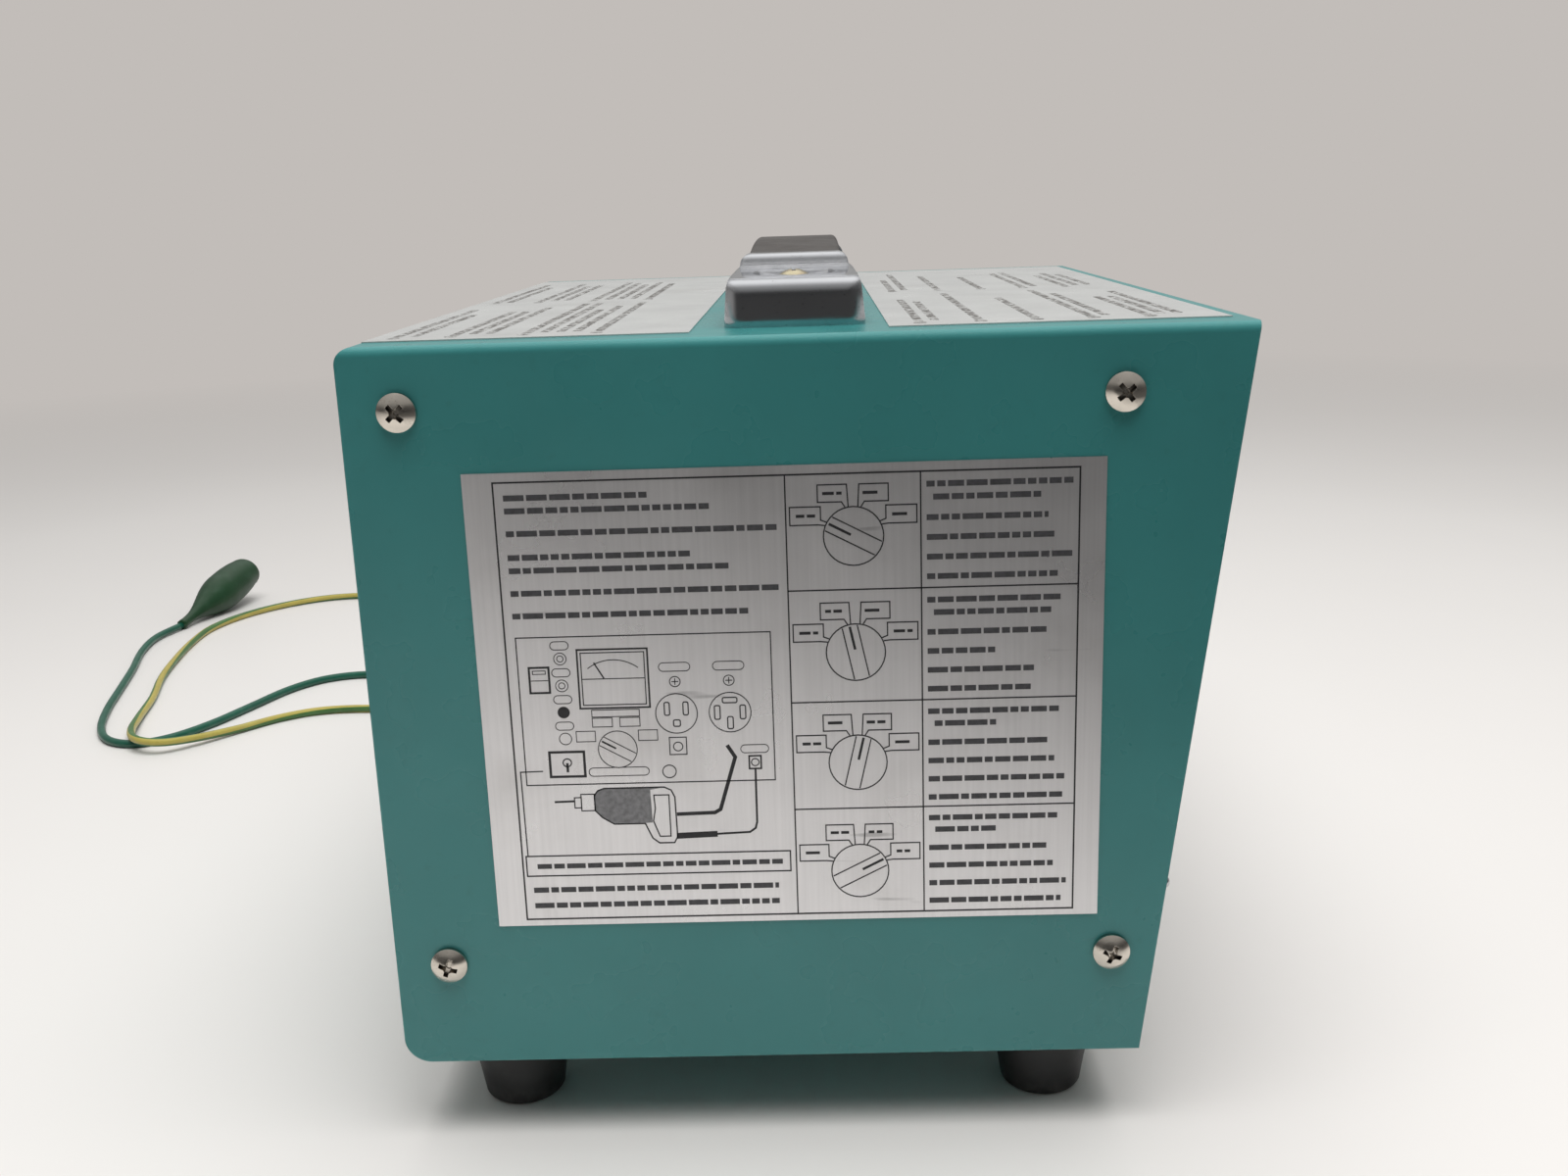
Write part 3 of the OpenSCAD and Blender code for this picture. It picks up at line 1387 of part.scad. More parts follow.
// Half of a clip, stamped from sheet: a trough whose tail edges rise away from the other half
// and whose nose has teeth. up is 1 or -1
module clip_half(r, up) {
    tail_x = boot_l * tail_share;
    nose_x = boot_l * 0.985;
    tooth_x = boot_l * 0.8;
    teeth = 5;
    pitch = (nose_x - tooth_x) / teeth;
    pin_x = boot_l * pin_share;
    nose_r = r - 2.4;
    intersection() {
        rotate([0, 90, 0]) rotate_extrude()
            polygon([[r - jaw_t, tail_x], [r, tail_x], [r, pin_x + 4], [nose_r, nose_x],
                     [nose_r - jaw_t, nose_x], [r - jaw_t, pin_x + 4]]);
        translate([0, 20, 0]) rotate([90, 0, 0]) linear_extrude(40) mirror([0, up > 0 ? 0 : 1])
            difference() {
                polygon([[tail_x - 1, 2.6], [tail_x - 1, 8], [pin_x + 4, 8], [nose_x + 1, 2.2],
                         [nose_x + 1, 0.4], [pin_x - 3, 0.4]]);
                for (i = [0:teeth - 1]) translate([tooth_x + i * pitch, 0.3])
                    polygon([[0, 0], [pitch, 0], [pitch / 2, 1.1]]);
            }
    }
}

// Fixed half of a clip with its ears and its hinge pin
module clip_frame() {
    pin_x = boot_l * pin_share;
    difference() {
        union() {
            clip_half(frame_r, -1);
            for (s = [-1, 1]) translate([pin_x, s * (frame_r - jaw_t / 2), 0]) rotate([90, 0, 0])
                cylinder(r = 3, h = jaw_t, center = true);
        }
        translate([pin_x, -10, 0]) rotate([-90, 0, 0]) cylinder(d = clip_pin_d, h = 20);
    }
    translate([pin_x, -frame_r, 0]) rotate([-90, 0, 0]) cylinder(d = clip_pin_d, h = 2 * frame_r);
}

// Moving half of a clip, nested between the ears of the fixed one
module clip_jaw() {
    pin_x = boot_l * pin_share;
    difference() {
        union() {
            clip_half(jaw_r, 1);
            for (s = [-1, 1]) translate([pin_x, s * (jaw_r - jaw_t / 2 - 0.6), 0])
                rotate([90, 0, 0]) cylinder(r = 2.6, h = jaw_t, center = true);
        }
        translate([pin_x, -10, 0]) rotate([-90, 0, 0]) cylinder(d = clip_pin_d + 2 * fit, h = 20);
    }
}

module green_clip_boot() {
    color("green") lay_clip(green_clip_at, green_clip_turn) clip_boot();
}

module green_clip_frame() {
    color("silver") lay_clip(green_clip_at, green_clip_turn) clip_frame();
}

module green_clip_jaw() {
    color("silver") lay_clip(green_clip_at, green_clip_turn) clip_jaw();
}

module striped_clip_boot() {
    color("green") lay_clip(striped_clip_at, striped_clip_turn) clip_boot();
}

module striped_clip_frame() {
    color("silver") lay_clip(striped_clip_at, striped_clip_turn) clip_frame();
}

module striped_clip_jaw() {
    color("silver") lay_clip(striped_clip_at, striped_clip_turn) clip_jaw();
}

// Coil of a clip's spring round the pin, with a leg for each half
module clip_spring() {
    wire_d = 0.7;
    turns = 5;
    coil_r = clip_pin_d / 2 + wire_d / 2 + 0.15;
    coil_w = turns * wire_d * 0.95;
    leg_l = boot_l * 0.15;
    translate([boot_l * pin_share, 0, 0]) {
        rotate([90, 0, 0]) for (i = [0:turns - 1])
            translate([0, 0, (i + 0.5) * wire_d * 0.95 - coil_w / 2])
                rotate_extrude() translate([coil_r, 0]) circle(d = wire_d, $fn = 16);
        for (s = [-1, 1]) translate([0, s * (coil_w / 2 - wire_d / 2), s * coil_r])
            rotate([0, -90 - s * 6, 0]) cylinder(d = wire_d, h = leg_l, $fn = 16);
    }
}

module clip_springs() {
    color("silver") {
        lay_clip(green_clip_at, green_clip_turn) clip_spring();
        lay_clip(striped_clip_at, striped_clip_turn) clip_spring();
    }
}

cover();
chassis();
front_panel();
battery_door();
cover_screws();
hex_nuts();
door_screws();
rubber_feet();
foot_screws();
side_label();
top_labels();
handle_caps();
handle_strap();
strap_core();
handle_screws();
meter_housing();
meter_movement();
meter_dial();
meter_needle();
meter_window();
meter_zero_screw();
rocker_frame();
power_rocker();
lamp_bezels();
ok_lamp_lens();
ng_lamp_lens();
button_bodies();
start_button();
test_button();
selector_switch();
selector_shaft();
selector_knob();
toggle_plate();
toggle_switch();
toggle_lever();
two_pole_outlet();
three_pole_outlet();
panel_screws();
earth_tab();
fuse_holder();
fuse_cap();
earth_post();
earth_post_cap();
board_standoffs();
circuit_board();
board_parts();
transformer();
battery_holder();
batteries();
wiring_loom();
lead_lugs();
green_lead();
striped_lead();
green_clip_boot();
green_clip_frame();
green_clip_jaw();
striped_clip_boot();
striped_clip_frame();
striped_clip_jaw();
clip_springs();
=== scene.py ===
"""Looks of the power tool tester: its leads, its print, its finishes, the floor and the light.

Lengths in the tables are millimetres in the frame of the CAD part: the floor is z = 0, the
operator stands at -Y and the operator's right is +X. Objects are made in metres.
"""
import json
import math
import random

import bmesh
import bpy
from mathutils import Matrix, Vector


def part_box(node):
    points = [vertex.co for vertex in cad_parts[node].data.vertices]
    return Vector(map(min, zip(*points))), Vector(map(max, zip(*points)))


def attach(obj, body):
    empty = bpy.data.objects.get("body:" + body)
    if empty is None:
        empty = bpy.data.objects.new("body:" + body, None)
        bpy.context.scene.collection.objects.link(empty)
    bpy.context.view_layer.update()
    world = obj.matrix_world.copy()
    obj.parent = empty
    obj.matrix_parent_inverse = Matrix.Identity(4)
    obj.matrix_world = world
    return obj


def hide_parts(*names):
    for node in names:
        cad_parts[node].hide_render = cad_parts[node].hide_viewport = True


MM = 0.001
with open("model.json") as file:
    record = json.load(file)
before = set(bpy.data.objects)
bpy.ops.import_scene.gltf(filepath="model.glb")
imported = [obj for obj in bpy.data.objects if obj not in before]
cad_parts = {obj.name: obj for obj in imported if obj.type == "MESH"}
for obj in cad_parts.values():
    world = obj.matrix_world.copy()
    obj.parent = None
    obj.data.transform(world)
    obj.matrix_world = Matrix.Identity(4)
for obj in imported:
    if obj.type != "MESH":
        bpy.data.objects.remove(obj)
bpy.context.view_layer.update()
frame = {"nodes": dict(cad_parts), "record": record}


def srgb(red, green, blue):
    """Linear colour of three 0 to 255 screen values."""
    def linear(v):
        v /= 255
        return v / 12.92 if v <= 0.04045 else ((v + 0.055) / 1.055) ** 2.4
    return (linear(red), linear(green), linear(blue), 1.0)


def scaled(color, factor, lift=0.0):
    """A linear colour times a factor, plus a lift, and never above 1."""
    return tuple(min(1.0, c * factor + lift) for c in color[:3]) + (1.0,)


def new_object(name, verts, faces, material, smooth=False):
    """A mesh object from points in millimetres, with its faces turned outwards."""
    mesh = bpy.data.meshes.new(name)
    mesh.from_pydata([[c * MM for c in v] for v in verts], [], faces)
    work = bmesh.new()
    work.from_mesh(mesh)
    bmesh.ops.recalc_face_normals(work, faces=work.faces)
    work.to_mesh(mesh)
    work.free()
    if smooth:
        mesh.polygons.foreach_set("use_smooth", [True] * len(mesh.polygons))
    mesh.materials.append(material)
    obj = bpy.data.objects.new(name, mesh)
    bpy.context.scene.collection.objects.link(obj)
    return obj


def add_node(tree, kind, inputs=None, **settings):
    """A shader node. Its inputs are plain values, or sockets of other nodes to link from."""
    node = tree.nodes.new("ShaderNode" + kind)
    for key, value in settings.items():
        setattr(node, key, value)
    for key, value in (inputs or {}).items():
        if isinstance(value, bpy.types.NodeSocket):
            tree.links.new(value, node.inputs[key])
        else:
            node.inputs[key].default_value = value
    return node


# Camera

FOCAL_PX, IMAGE_W, SENSOR_MM = 1533.4, 1600, 36
# Place and clipping in metres, and turns in degrees from a level look along +X
CAMERA_AT = (-0.4689, -0.00387, 0.2282)
CAMERA_PITCH, CAMERA_YAW, CAMERA_ROLL = 14.558, 1.348, 1.854
CLIP_NEAR, CLIP_FAR = 0.01, 20


def make_camera():
    """The photo's camera."""
    pitch, yaw, roll = (math.radians(a) for a in (CAMERA_PITCH, CAMERA_YAW, CAMERA_ROLL))
    ahead = Vector((math.cos(yaw) * math.cos(pitch), math.sin(yaw) * math.cos(pitch),
                    -math.sin(pitch)))
    level = Vector((math.sin(yaw), -math.cos(yaw), 0))
    down = ahead.cross(level)
    right = math.cos(roll) * level + math.sin(roll) * down
    down = math.cos(roll) * down - math.sin(roll) * level
    data = bpy.data.cameras.new("camera")
    data.sensor_width = SENSOR_MM
    data.lens = FOCAL_PX / IMAGE_W * SENSOR_MM
    data.clip_start, data.clip_end = CLIP_NEAR, CLIP_FAR
    camera = bpy.data.objects.new("camera", data)
    bpy.context.scene.collection.objects.link(camera)
    turn = Matrix((right, -down, -ahead)).transposed().to_4x4()
    camera.matrix_world = Matrix.Translation(CAMERA_AT) @ turn
    bpy.context.scene.camera = camera


make_camera()


# Finishes

class Finish:
    """A procedural material, built node by node on a Principled shader."""

    # Rays of each Bevel and Ambient Occlusion node
    SAMPLES = 4

    def __init__(self, name, color, rough, metal=0.0, **sockets):
        self.material = bpy.data.materials.new(name)
        self.material.use_nodes = True
        self.tree = self.material.node_tree
        self.shader = self.tree.nodes["Principled BSDF"]
        self.color, self.rough = color, rough
        self.shader.inputs["Base Color"].default_value = color
        self.shader.inputs["Roughness"].default_value = rough
        self.shader.inputs["Metallic"].default_value = metal
        for key, value in sockets.items():
            self.shader.inputs[key.replace("_", " ")].default_value = value

    def add(self, kind, inputs=None, **settings):
        return add_node(self.tree, kind, inputs, **settings)

    def drive(self, socket, value):
        """Link a node's output to one of the shader's own sockets."""
        self.tree.links.new(value, self.shader.inputs[socket])

    def place(self, stretch=(1, 1, 1)):
        """Object coordinates, in metres times stretch."""
        where = self.add("TexCoord").outputs["Object"]
        return self.add("Mapping", {"Vector": where, "Scale": stretch}).outputs["Vector"]

    def noise(self, scale, detail, stretch=(1, 1, 1)):
        return self.add("TexNoise", {"Vector": self.place(stretch), "Scale": scale,
                                     "Detail": detail}).outputs["Fac"]

    def cells(self, scale):
        """Distance to the nearest of many scattered points."""
        return self.add("TexVoronoi", {"Vector": self.place(), "Scale": scale}).outputs["Distance"]

    def span(self, value, low, high, to_low=0.0, to_high=1.0):
        return self.add("MapRange", {"Value": value, "From Min": low, "From Max": high,
                                     "To Min": to_low, "To Max": to_high}).outputs["Result"]

    def math(self, operation, a, b=0.0):
        return self.add("Math", {0: a, 1: b}, operation=operation).outputs[0]

    def mix(self, factor, a, b):
        """Colour mix. The Mix node's colours are its inputs 6 and 7 and its output 2."""
        return self.add("Mix", {0: factor, 6: a, 7: b}, data_type="RGBA").outputs[2]

    def rounded_normal(self, radius):
        """Normals as on edges rounded by this radius in millimetres."""
        return self.add("Bevel", {"Radius": radius * MM}, samples=self.SAMPLES).outputs["Normal"]

    def edge(self, radius, low=0.02, high=0.25):
        """1 on edges that a round of this radius in millimetres would reach, 0 elsewhere."""
        soft = self.rounded_normal(radius)
        true = self.add("NewGeometry").outputs["True Normal"]
        dot = self.add("VectorMath", {0: soft, 1: true}, operation="DOT_PRODUCT").outputs["Value"]
        return self.span(self.math("SUBTRACT", 1.0, dot), low, high)

    def shade(self):
        """0 in corners that the next 1.4 mm close in, 1 in the open."""
        sky = self.add("AmbientOcclusion", {"Distance": 1.4 * MM}, samples=self.SAMPLES)
        return self.span(sky.outputs["AO"], 0.35, 0.75)

    def paint(self, color):
        self.drive("Base Color", color)
        return self

    def tint(self, scale, amount, color=None, stretch=(1, 1, 1)):
        """Colour that drifts a little lighter and darker over the surface."""
        base = color or self.color
        spread = self.span(self.noise(scale, 4, stretch), 0.3, 0.7)
        return self.mix(spread, scaled(base, 1 - amount), scaled(base, 1 + amount))

    def gloss(self, scale, amount, stretch=(1, 1, 1)):
        """Roughness that varies over the surface."""
        rough = self.span(self.noise(scale, 3, stretch), 0.25, 0.75,
                          max(0.02, self.rough - amount), self.rough + amount)
        self.drive("Roughness", rough)
        return self

    def bump(self, height, distance, strength, rounding=None):
        """Relief this many millimetres deep, on edges that rounding softens in the shading."""
        inputs = {"Height": height, "Distance": distance * MM, "Strength": strength}
        if rounding:
            inputs["Normal"] = self.rounded_normal(rounding)
        self.drive("Normal", self.add("Bump", inputs).outputs["Normal"])
        return self


def teal_paint():
    f = Finish("teal_paint", srgb(58, 131, 130), 0.29)
    body = f.tint(24, 0.05)
    grime = f.span(f.noise(320, 6), 0.62, 0.78)
    body = f.mix(f.math("MULTIPLY", grime, 0.16), body, srgb(44, 98, 95))
    # Lighter teal on the edges: partly paint worn thin, partly a painted highlight along the bends
    wear_and_highlight = f.math("MULTIPLY", f.edge(0.7), f.span(f.noise(140, 6), 0.42, 0.6))
    body = f.mix(f.math("MULTIPLY", wear_and_highlight, 0.75), body, srgb(132, 192, 190))
    chips = f.math("MULTIPLY", f.edge(0.5, 0.04, 0.2), f.span(f.noise(95, 5), 0.66, 0.7))
    f.paint(f.mix(chips, body, srgb(62, 62, 60)))
    f.gloss(60, 0.06)
    return f.bump(f.noise(620, 2), 0.03, 0.55, rounding=0.4)


def panel_aluminium():
    f = Finish("panel_aluminium", srgb(196, 198, 200), 0.34, 0.85)
    f.paint(f.tint(900, 0.05, stretch=(0.03, 1, 1)))
    f.gloss(700, 0.07, (0.03, 1, 1))
    return f.bump(f.noise(1500, 2, (0.02, 1, 1)), 0.006, 0.5)


def nickel():
    f = Finish("nickel", srgb(214, 207, 196), 0.2, 1.0)
    plate = f.tint(260, 0.08)
    pits = f.math("MULTIPLY", f.span(f.cells(1500), 0.2, 0.08), f.span(f.noise(210, 3), 0.5, 0.6))
    plate = f.mix(f.math("MULTIPLY", pits, 0.6), plate, srgb(92, 78, 62))
    f.paint(f.mix(f.shade(), srgb(52, 44, 36), plate))
    f.gloss(420, 0.08)
    return f.bump(f.noise(900, 3), 0.01, 0.5, rounding=0.15)


def zinc_steel():
    f = Finish("zinc_steel", srgb(186, 186, 182), 0.32, 1.0)
    f.paint(f.tint(160, 0.12))
    f.gloss(240, 0.1)
    return f.bump(f.noise(1200, 2), 0.008, 0.4, rounding=0.15)


def foot_rubber():
    f = Finish("foot_rubber", srgb(26, 26, 27), 0.5)
    height = f.add("SeparateXYZ", {0: f.place()}).outputs["Z"]
    low = f.span(height, 0.006, 0.0)
    dust = f.math("MULTIPLY", low, f.span(f.noise(420, 5), 0.35, 0.7))
    haze = f.math("MULTIPLY", f.span(f.noise(90, 4), 0.45, 0.75), 0.14)
    f.paint(f.mix(f.math("MAXIMUM", f.math("MULTIPLY", dust, 0.45), haze),
                  f.tint(80, 0.2), srgb(96, 93, 90)))
    f.gloss(130, 0.1)
    return f.bump(f.noise(1400, 3), 0.03, 0.5, rounding=0.5)


def foil(name, color, rough, metal):
    """Satin label foil with faint rolling lines, stains and scratches."""
    f = Finish(name, color, rough, metal)
    base = f.tint(1100, 0.035, stretch=(1, 1, 0.02))
    stain = f.math("MULTIPLY", f.span(f.noise(36, 5), 0.55, 0.75), 0.18)
    base = f.mix(stain, base, srgb(150, 146, 140))
    scratch = f.span(f.noise(420, 2, (1, 0.06, 0.5)), 0.71, 0.75)
    f.paint(f.mix(f.math("MULTIPLY", scratch, 0.4), base, srgb(96, 96, 98)))
    f.gloss(50, 0.05)
    return f.bump(f.noise(900, 2), 0.006, 0.4)


def fresh_ink(name, color):
    f = Finish(name, color, 0.45)
    f.paint(f.tint(900, 0.25))
    f.gloss(300, 0.08)
    return f


def worn_ink(name, color, bare):
    """Ink rubbed down to the label in small flecks."""
    f = Finish(name, color, 0.45)
    rubbed = f.span(f.noise(760, 5), 0.47, 0.58)
    f.paint(f.mix(rubbed, f.tint(900, 0.2), bare))
    f.gloss(300, 0.08)
    return f


def chrome(name, rough, ripple, rounding, color=(198, 200, 204)):
    """Plated metal whose surface ripples and whose edges round by these many millimetres."""
    f = Finish(name, srgb(*color), rough, 1.0)
    specks = f.math("MULTIPLY", f.span(f.cells(900), 0.16, 0.07), f.span(f.noise(150, 3), 0.5, 0.62))
    f.paint(f.mix(specks, f.tint(60, 0.04), srgb(70, 64, 58)))
    f.gloss(180, 0.03)
    return f.bump(f.noise(130, 2), ripple, 0.35, rounding)


def vinyl_strap():
    f = Finish("strap_vinyl", srgb(58, 52, 48), 0.42)
    f.paint(f.mix(f.span(f.cells(1100), 0.05, 0.5), srgb(66, 59, 54), srgb(46, 41, 38)))
    f.gloss(90, 0.07)
    return f.bump(f.math("ADD", f.cells(1100), f.noise(500, 3)), 0.08, 0.6)


def brass(name, color):
    f = Finish(name, srgb(*color), 0.26, 1.0)
    wear_and_highlight = f.mix(f.span(f.noise(380, 4), 0.4, 0.62), f.tint(200, 0.1), srgb(190, 176, 150))
    f.paint(f.mix(f.shade(), srgb(46, 36, 24), wear_and_highlight))
    f.gloss(300, 0.08)
    return f.bump(f.noise(900, 2), 0.01, 0.4, rounding=0.15)


def plastic(name, color, rough, grain=0.0):
    """Moulded plastic, with a fine spark texture where grain is above 0."""
    f = Finish(name, srgb(*color), rough)
    edge = f.math("MULTIPLY", f.edge(0.4), f.span(f.noise(260, 4), 0.4, 0.65))
    f.paint(f.mix(f.math("MULTIPLY", edge, 0.5), f.tint(70, 0.07), scaled(f.color, 1.5, 0.012)))
    f.gloss(110, 0.05)
    return f.bump(f.noise(1600 if grain else 160, 2), grain or 0.02, 0.5, rounding=0.3)


def clear_window():
    f = Finish("clear_window", (0.93, 0.96, 0.96, 1), 0.04, Alpha=0.14)
    f.gloss(60, 0.015)
    f.material.surface_render_method = "BLENDED"
    return f.bump(f.noise(40, 2), 0.01, 0.3)


def lens(name, color):
    f = Finish(name, srgb(*color), 0.14, Transmission_Weight=0.55, IOR=1.49)
    f.paint(f.tint(300, 0.12))
    return f.bump(f.cells(900), 0.12, 0.6)


def lead_vinyl(name, color, rough=0.34, dust=0.22):
    f = Finish(name, srgb(*color), rough)
    dusty = f.math("MULTIPLY", f.span(f.noise(150, 5), 0.52, 0.75), dust)
    f.paint(f.mix(dusty, f.tint(60, 0.1), srgb(96, 128, 112)))
    f.gloss(160, 0.07)
    return f.bump(f.noise(420, 4), 0.06, 0.5)


# Green bands round the striped lead, how many of them pass in a metre along it, their share of
# the colour, and the blur of their edges as a share of their pitch
BANDS_ROUND, BANDS_PER_M, GREEN_SHARE, BAND_BLUR = 2, 4.4, 0.48, 0.012


def striped_vinyl():
    """Yellow vinyl with two green bands that turn slowly, laid out on the lead's own UV map."""
    f = Finish("striped_vinyl", srgb(178, 164, 82), 0.36)
    uv = f.add("SeparateXYZ", {0: f.add("UVMap").outputs["UV"]})
    turn = f.math("ADD", f.math("MULTIPLY", uv.outputs["X"], BANDS_ROUND),
                  f.math("MULTIPLY", uv.outputs["Y"], BANDS_PER_M))
    wave = f.math("ABSOLUTE", f.math("SUBTRACT", f.math("FRACT", turn), 0.5))
    band = f.span(wave, GREEN_SHARE / 2 + BAND_BLUR, GREEN_SHARE / 2 - BAND_BLUR)
    yellow = f.tint(120, 0.08)
    green = f.tint(90, 0.12, srgb(70, 110, 58))
    dusty = f.math("MULTIPLY", f.span(f.noise(150, 5), 0.55, 0.75), 0.18)
    f.paint(f.mix(dusty, f.mix(band, yellow, green), srgb(150, 146, 120)))
    f.gloss(160, 0.07)
    return f.bump(f.noise(420, 4), 0.06, 0.5)


# Pitch of the cells along X, and where on it the band starts and is full, in metres
CELL_PITCH, BAND_START, BAND_FULL = 0.0502, 0.034, 0.0342


def cell_jacket():
    """Dark cell jackets with a plain copper coloured band at one end."""
    f = Finish("cell_jacket", srgb(40, 42, 48), 0.3, 0.6)
    along = f.add("SeparateXYZ", {0: f.place()}).outputs["X"]
    band = f.span(f.math("PINGPONG", along, CELL_PITCH), BAND_START, BAND_FULL)
    f.paint(f.mix(band, f.tint(60, 0.1), srgb(176, 116, 70)))
    return f.bump(f.noise(300, 2), 0.01, 0.4)


STEEL = zinc_steel()
FINISHES = {
    "teal_paint": teal_paint(),
    "panel_aluminium": panel_aluminium(),
    "nickel": nickel(),
    "zinc_steel": STEEL,
    "foot_rubber": foot_rubber(),
    "label_foil": foil("label_foil", srgb(222, 221, 222), 0.3, 0.85),
    "label_white": foil("label_white", srgb(198, 199, 197), 0.24, 0.2),
    "handle_chrome": chrome("handle_chrome", 0.08, 0.004, 2.0),
    "strap_vinyl": vinyl_strap(),
    "screw_brass": brass("screw_brass", (206, 196, 164)),
    "black_gloss": plastic("black_gloss", (30, 30, 31), 0.18),
    "black_matt": plastic("black_matt", (36, 36, 37), 0.42, 0.02),
    "outlet_black": plastic("outlet_black", (44, 43, 43), 0.32, 0.015),
    "movement_metal": STEEL,
    "dial_white": plastic("dial_white", (238, 236, 226), 0.6, 0.01),
    "needle_black": plastic("needle_black", (24, 24, 24), 0.4),
    "clear_window": clear_window(),
    "switch_chrome": chrome("switch_chrome", 0.12, 0.02, 0.3),
    "green_lens": lens("green_lens", (24, 160, 70)),
    "red_lens": lens("red_lens", (205, 38, 30)),
    "button_white": plastic("button_white", (232, 230, 222), 0.25),
    "post_green": plastic("post_green", (14, 112, 66), 0.26),
    "brass_plain": brass("brass_plain", (200, 170, 100)),
    "board_green": plastic("board_green", (20, 92, 50), 0.3, 0.01),
    "component_dark": plastic("component_dark", (48, 50, 62), 0.45, 0.01),
    "transformer_iron": STEEL,
    "cell_jacket": cell_jacket(),
    "loom_sleeve": lead_vinyl("loom_sleeve", (140, 34, 30)),
    "green_vinyl": lead_vinyl("green_vinyl", (22, 84, 66)),
    "striped_vinyl": striped_vinyl(),
}
BOOT_VINYL = lead_vinyl("boot_vinyl", (16, 56, 28), 0.42, 0.1).material
INK = fresh_ink("ink_dark", srgb(34, 34, 37)).material
INK_SOFT = fresh_ink("ink_soft", srgb(66, 66, 69)).material
INK_WHITE = fresh_ink("ink_white", srgb(222, 222, 218)).material
INK_GREY = fresh_ink("ink_grey", srgb(128, 128, 130)).material
INK_FADED = worn_ink("ink_faded", srgb(92, 89, 86), srgb(176, 176, 174)).material
INK_RED = fresh_ink("ink_red", srgb(176, 40, 34)).material
INK_GREEN = fresh_ink("ink_green", srgb(28, 120, 66)).material

for part in frame["record"]["subparts"]:
    materials = frame["nodes"][part["node"]].data.materials
    materials.clear()
    materials.append(FINISHES[part["material_slot"]].material)


# Leads and booted clips

LEAD_D = 3.6
GREEN_ROUTE = [
    (108.8, -83.9, 28.7), (107, -84.5, 22), (106, -88, 12), (108, -95, 4.5), (116, -101, 1.9),
    (132, -104, 1.8), (148, -98, 1.8), (160, -84, 1.8), (167, -62, 1.8), (172, -34, 1.8),
    (178, 0, 1.8), (186, 40, 1.8), (197, 82, 1.8), (210, 122, 1.8), (225, 160, 1.8),
    (241, 196, 1.8), (251, 222, 1.8), (246, 243, 1.8), (230, 257, 1.8), (206, 267, 1.8),
    (182, 277, 1.8), (164, 289, 1.8), (157, 303, 1.8), (163, 317, 1.8), (180, 328, 1.8),
    (206, 337, 1.8), (238, 345, 1.8), (270, 353, 1.8), (302, 362, 1.9), (328, 365, 2.3),
    (351, 360, 2.7)]
STRIPED_ROUTE = [
    (117.1, -84.7, 28.7), (118.6, -85.4, 22), (119, -88, 13), (121, -92, 5.5), (127, -94.5, 2),
    (137, -91, 1.8), (146, -80, 1.8), (152, -62, 1.8), (155, -34, 1.8), (157, 0, 1.8),
    (160, 40, 1.8), (165, 82, 1.8), (173, 122, 1.8), (184, 160, 1.8), (194, 190, 1.8),
    (198, 212, 1.8), (196, 232, 1.8), (187, 248, 1.8), (172, 262, 2.2), (157, 275, 3.8),
    (148, 287, 5.4), (152, 299, 5.7), (167, 308, 4.4), (190, 315, 2.5), (222, 322, 1.8),
    (254, 331, 1.8), (286, 337, 1.8), (318, 341, 1.8), (346, 341, 1.8), (372, 332, 1.8),
    (394, 315, 1.8), (408, 293, 1.8), (411, 268, 1.8), (405, 240, 1.8), (395, 214, 1.9),
    (387, 192, 2.3), (381, 172, 2.7)]
# Boots as in the CAD part, and how far one tilts as it lies on the floor
BOOT_L, BOOT_D, BOOT_TAIL_R, BOOT_T = 70, 22, 2.7, 1.2
BOOT_TILT = math.radians(11.9498)
# Shares of its length over which a boot swells and then draws in, and how much it draws in
SWELL_FROM, SWELL_OVER, TAPER_FROM, TAPER_OVER, TAPER = 0.09, 0.53, 0.7, 0.3, 0.2
# Shares of its length where its hollow ends, where the rim of its mouth stands, where its lip is
# rolled, and the width of a rolled bead
BOOT_FLOOR, BOOT_RIM, LIP_AT, BEAD_WIDTH = 0.2, 1.006, 0.985, 0.012
# Strengths in millimetres of its beads, parting line, sag and creases, and the sine of the angle
# over which the parting line fades
TAIL_BEAD, LIP_BEAD, SEAM, SAG, CREASE = 0.35, 0.25, 0.16, 0.22, 0.07
SEAM_WIDTH = 0.09


def smooth_route(route, steps):
    """Points on a Catmull-Rom curve through the route."""
    pts = [Vector(p) for p in route]
    pts = [2 * pts[0] - pts[1], *pts, 2 * pts[-1] - pts[-2]]
    out = []
    for a, b, c, d in zip(pts, pts[1:], pts[2:], pts[3:]):
        for k in range(steps):
            t = k / steps
            out.append(0.5 * (2 * b + (c - a) * t + (2 * a - 5 * b + 4 * c - d) * t * t
                              + (3 * b - a - 3 * c + d) * t ** 3))
    return out + [pts[-2]]


def skin(rings, sides):
    """Faces over rings of points with this many sides, and a cap at either end."""
    faces = []
    for i in range(rings - 1):
        for k in range(sides):
            m = (k + 1) % sides
            faces.append((i * sides + k, i * sides + m, (i + 1) * sides + m, (i + 1) * sides + k))
    return faces + [tuple(range(sides)), tuple(range((rings - 1) * sides, rings * sides))]


